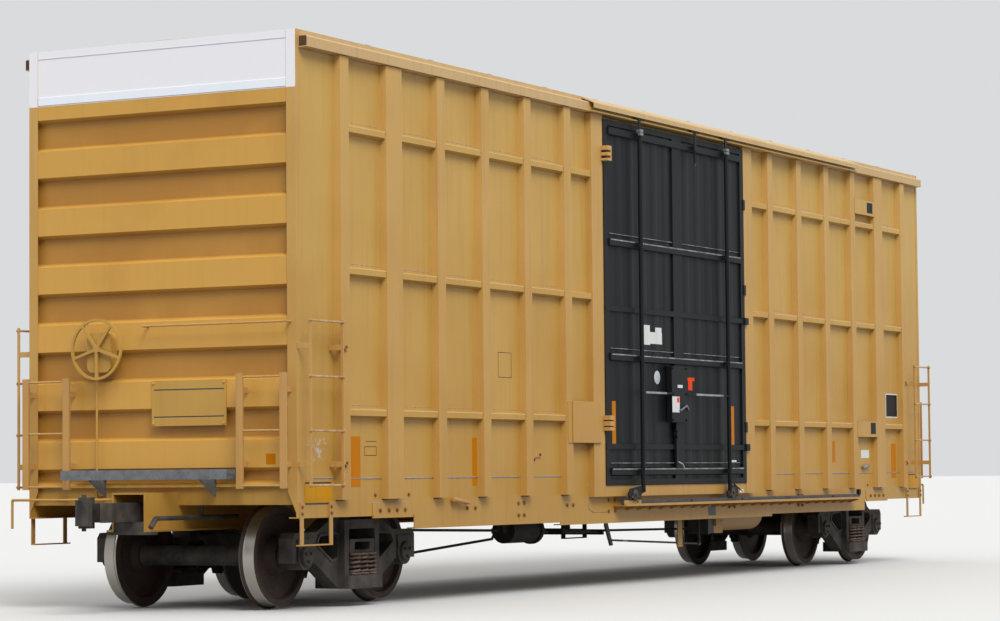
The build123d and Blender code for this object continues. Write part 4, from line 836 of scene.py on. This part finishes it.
def weld(name, runs, radius, material, step=0.05):
    """Beads between pairs of points, rippled by moving their corners at random, joined into one piece."""
    made = []
    for number, (start, stop) in enumerate(runs):
        start, stop = Vector(start), Vector(stop)
        long = (stop - start).length
        bpy.ops.object.select_all(action="DESELECT")
        bpy.ops.mesh.primitive_cylinder_add(vertices=6, radius=radius, depth=long,
                                            location=(start + stop) / 2,
                                            rotation=(stop - start).to_track_quat("Z", "Y").to_euler())
        bpy.ops.object.transform_apply(location=True, rotation=True, scale=True)
        bead = bpy.context.object
        corner = [vertex.co.copy() for vertex in bead.data.vertices]
        pick(bead, "EDGE",
             lambda edge: (corner[edge.vertices[0]] - corner[edge.vertices[1]]).length > 0.9 * long)
        bpy.ops.mesh.subdivide(number_cuts=min(150, max(1, int(long / step))))
        bpy.ops.mesh.select_all(action="SELECT")
        bpy.ops.transform.vertex_random(offset=0.35 * radius, uniform=1.0, normal=0.0, seed=number)
        bpy.ops.object.mode_set(mode="OBJECT")
        made.append(bead)
    piece = join(made, made[0])
    bpy.ops.object.shade_smooth()
    print(name, len(runs), "beads")
    return finish_piece(piece, name, material)


print("a weld runs between two points, with a ripple")

# %% [markdown]
# ## Where the posts stand
# Six posts stand on each half of the side, 889 mm apart, and the one over the truck is nearly twice as wide,
# because it carries the load of the body. The places could be typed in for each seam and rib, but a pitch
# and a width say the same, so the bays between the posts are worked out once.

# %% Posts and bays
post_pitch = 0.889
posts = [(end * (truck_x + (n - 4) * post_pitch), 0.290 if n == 4 else 0.150)
         for end in (-1, 1) for n in range(6)]
gaps = []
for (x, width), (next_x, next_width) in zip(sorted(posts)[:-1], sorted(posts)[1:]):
    if next_x - x < 1:
        gaps.append((x + width / 2 + 0.012, next_x - next_width / 2 - 0.012))
print(len(posts), "posts and", len(gaps), "bays")

# %% Sealed laps and post feet
laps = [(left, right, 1.155) for left, right in gaps] + [(-7.57, -7.20, 1.162), (7.20, 7.57, 1.162)]
laps += [(-6.536, -5.856, 0.931), (5.856, 6.536, 0.931)]
lap = [bar for left, right, z in laps for bar in side_bar(sheet_y, (left, z), (right, z))]
weld("lap_seam", both_ways(lap), 0.006, seam_paint)
feet = [bar for x, width in posts
        for bar in side_bar(sheet_y - 0.004, (x - width / 2, 0.965), (x + width / 2, 0.965))]
weld("foot_welds", both_ways(feet), 0.009, rusty_steel)

# %% [markdown]
# ## Ribs
# Three ribs stiffen every bay. Their upper bend looks up at the sky and catches its light. The paint could be
# lighter by height, but every rib has such a bend, so a thin pale strip lies on each, a painted highlight.
# Above it shows a row of seven short welds; one is modelled, a rod with rounded ends, and copied into every
# bay.

# %% Upper bends and stitch welds
rib_y = -1.5168
rib_heights = (1.752, 3.037, 4.330)
# Painted highlight: a pale strip on the upper bend of every rib, where it catches the sky.
rib_highlight_paint = enamel("rib_highlight_paint", "CDA866", "D6B478", "7A6444", 0.15, 0.45, 0.0)
edges = [(left - 0.010, right + 0.010, height + 0.022, height + 0.031)
         for left, right in gaps for height in rib_heights]
plates("rib_highlights", on_side(edges, rib_y, 0.0010), rib_highlight_paint, 0.0004)
dash_places = []
for left, right in gaps:
    for height in rib_heights:
        for step in range(7):
            x, z = left + (right - left) * (0.11 + 0.13 * step), height + 0.071 + rail
            dash_places += [(x, sheet_y + 0.001, z), (-x, -sheet_y - 0.001, z)]
bpy.ops.object.select_all(action="DESELECT")
bpy.ops.mesh.primitive_cylinder_add(vertices=6, radius=0.0045, depth=0.052, rotation=(0, radians(90), 0))
dash = bpy.context.object
rounded = dash.modifiers.new("rounded_ends", "BEVEL")
rounded.width, rounded.segments = 0.002, 2
bpy.ops.object.modifier_apply(modifier="rounded_ends")
bpy.ops.object.transform_apply(location=True, rotation=True, scale=True)
finish_piece(repeat(dash, dash_places), "stitch_welds", seam_paint)
print(len(dash_places), "stitch welds")

# %% A patch below the door and the chord's weld
crease = side_bar(sheet_y, (-2.114, 1.081), (-2.117, 0.809), (-2.018, 0.774), (-1.686, 0.771))
weld("patch_weld", both_ways(crease), 0.004, weld_enamel)
chord_weld = side_bar(sheet_y - 0.001, (-7.70, 4.983), (7.70, 4.983))
weld("chord_weld", both_ways(chord_weld), 0.004, weld_enamel, 0.1)

# %% [markdown]
# ## Coil springs
# Each truck rides on two nests of nine hot-coiled springs, closed at both ends. A curve with a bevel could
# draw the wire, but the Screw modifier works as a spring is wound on a mandrel: it sweeps a section of the
# wire round the axis, and a ring closes each end. One spring is modelled and set on the grid of the nest;
# the joined springs take the place of the plain cylinders of the CAD.

# %% One coil spring
nest_y = 1.0033
spring_pitch = 0.142
spring_foot, spring_top = 0.2874, 0.4934
wire = 0.0125
coil_radius = 0.053
bpy.ops.object.select_all(action="DESELECT")
bpy.ops.mesh.primitive_circle_add(vertices=8, radius=wire, location=(coil_radius, 0, spring_foot + wire),
                                  rotation=(pi / 2, 0, 0))
coil = bpy.context.object
bpy.ops.object.transform_apply(location=True, rotation=True, scale=True)
turns = 4.5
winding = coil.modifiers.new("winding", "SCREW")
winding.axis = "Z"
winding.angle = 2 * pi * turns
winding.screw_offset = spring_top - spring_foot - 2 * wire
winding.steps = winding.render_steps = int(14 * turns)
bpy.ops.object.modifier_apply(modifier="winding")
rings = []
for height in (spring_foot + wire, spring_top - wire):
    bpy.ops.mesh.primitive_torus_add(major_radius=coil_radius, minor_radius=wire, major_segments=16,
                                     minor_segments=8, location=(0, 0, height))
    rings.append(bpy.context.object)
join(rings + [coil], coil)
bpy.ops.object.transform_apply(location=True, rotation=True, scale=True)
bpy.ops.object.mode_set(mode="EDIT")
bpy.ops.mesh.select_all(action="SELECT")
bpy.ops.mesh.normals_make_consistent(inside=False)
bpy.ops.object.mode_set(mode="OBJECT")
bpy.ops.object.shade_smooth()
print("one spring has", len(coil.data.polygons), "faces")

# %% Set the springs in their nests
for letter, x in (("a", -truck_x), ("b", truck_x)):
    first = coil.copy()
    first.data = coil.data.copy()
    places = [(x + step * spring_pitch, side * nest_y + row * spring_pitch, 0)
              for side in (1, -1) for step in (-1, 0, 1) for row in (-1, 0, 1)]
    nest = finish_piece(repeat(first, places), "coil_springs_" + letter, spring_steel, "truck_" + letter)
    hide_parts("springs_" + letter)
    print(nest.name, len(places), "springs,", len(nest.data.polygons), "faces")
bpy.data.objects.remove(coil)

# %% [markdown]
# ## The studio
# The floor and the background are plain and pale, and the light is that of an overcast day, in which the sky
# is three times as bright overhead as at the horizon. That darkens the recesses of the end wall and the
# underframe, whose paints are darkened further as painted shade. A broad, weak sun stands high beside the
# near end, so that the end wall and the webs of the posts are nearly as light as the side. What the camera
# and reflections see of the floor and sky is paler than the light that they throw, so that the pale
# surroundings don't wash out the shadows below the car. From below, the floor is clear.


# %% What is seen directly
def seen_directly(owner):
    """1 where the camera or a reflection sees the floor or the sky, 0 where their light falls on the car."""
    ray = add_node(owner, "LightPath").outputs
    seen = add_node(owner, "Math", {"operation": "MAXIMUM"},
                    {0: ray["Is Camera Ray"], 1: ray["Is Glossy Ray"]})
    return add_node(owner, "Math", {"operation": "MAXIMUM"}, {0: seen, 1: ray["Is Transmission Ray"]})


print("floor and sky can look paler than they shine")

# %% Floor
bpy.ops.object.select_all(action="DESELECT")
bpy.ops.mesh.primitive_plane_add(size=900, location=(0, 0, -0.002))
floor = bpy.context.object
floor.name = "studio_floor"
floor_paint = new_material("floor_paint")
seen = seen_directly(floor_paint)
floor_tint = add_node(floor_paint, "Mix", {"data_type": "RGBA"},
                      {"Factor": seen, "A": colour("7C7B77"), "B": colour("C9C9C7")})
floor_skin = add_node(floor_paint, "BsdfPrincipled", inputs={"Base Color": floor_tint, "Roughness": 0.9})
underneath = add_node(floor_paint, "NewGeometry").outputs["Backfacing"]
clear = add_node(floor_paint, "BsdfTransparent")
floor_skin = add_node(floor_paint, "MixShader", inputs={0: underneath, 1: floor_skin, 2: clear})
add_node(floor_paint, "OutputMaterial", inputs={"Surface": floor_skin})
floor.data.materials.append(floor_paint)
print("floor", round(floor.dimensions.x), "m across")

# %% Sky
world = bpy.data.worlds.new("overcast_sky")
bpy.context.scene.world = world
world.use_nodes = True
world.node_tree.nodes.clear()
seen = seen_directly(world)
direction = add_node(world, "TexCoord").outputs["Generated"]
height = add_node(world, "SeparateXYZ", inputs={0: direction}).outputs["Z"]
overhead = 1.4
overcast = add_node(world, "MapRange", inputs={"Value": height, "To Min": overhead / 3, "To Max": overhead})
light = add_node(world, "Background", inputs={"Color": colour("F6F7F8"), "Strength": overcast})
backdrop = add_node(world, "Background", inputs={"Color": colour("D9DBDC"), "Strength": 1.0})
both = add_node(world, "MixShader", inputs={0: seen, 1: light, 2: backdrop})
add_node(world, "OutputWorld", inputs={"Surface": both})
print("sky", overhead, "overhead and", round(overhead / 3, 2), "at the horizon")

# %% Sun
sun_data = bpy.data.lights.new("soft_sun", "SUN")
sun_data.energy = 2.4
sun_data.angle = radians(30)
sun = bpy.data.objects.new("soft_sun", sun_data)
bpy.context.scene.collection.objects.link(sun)
sun_heading = Vector((0.52, 0.58, -0.80))
sun.matrix_world = sun_heading.to_track_quat("-Z", "Y").to_matrix().to_4x4()
print("sun", sun_data.energy)
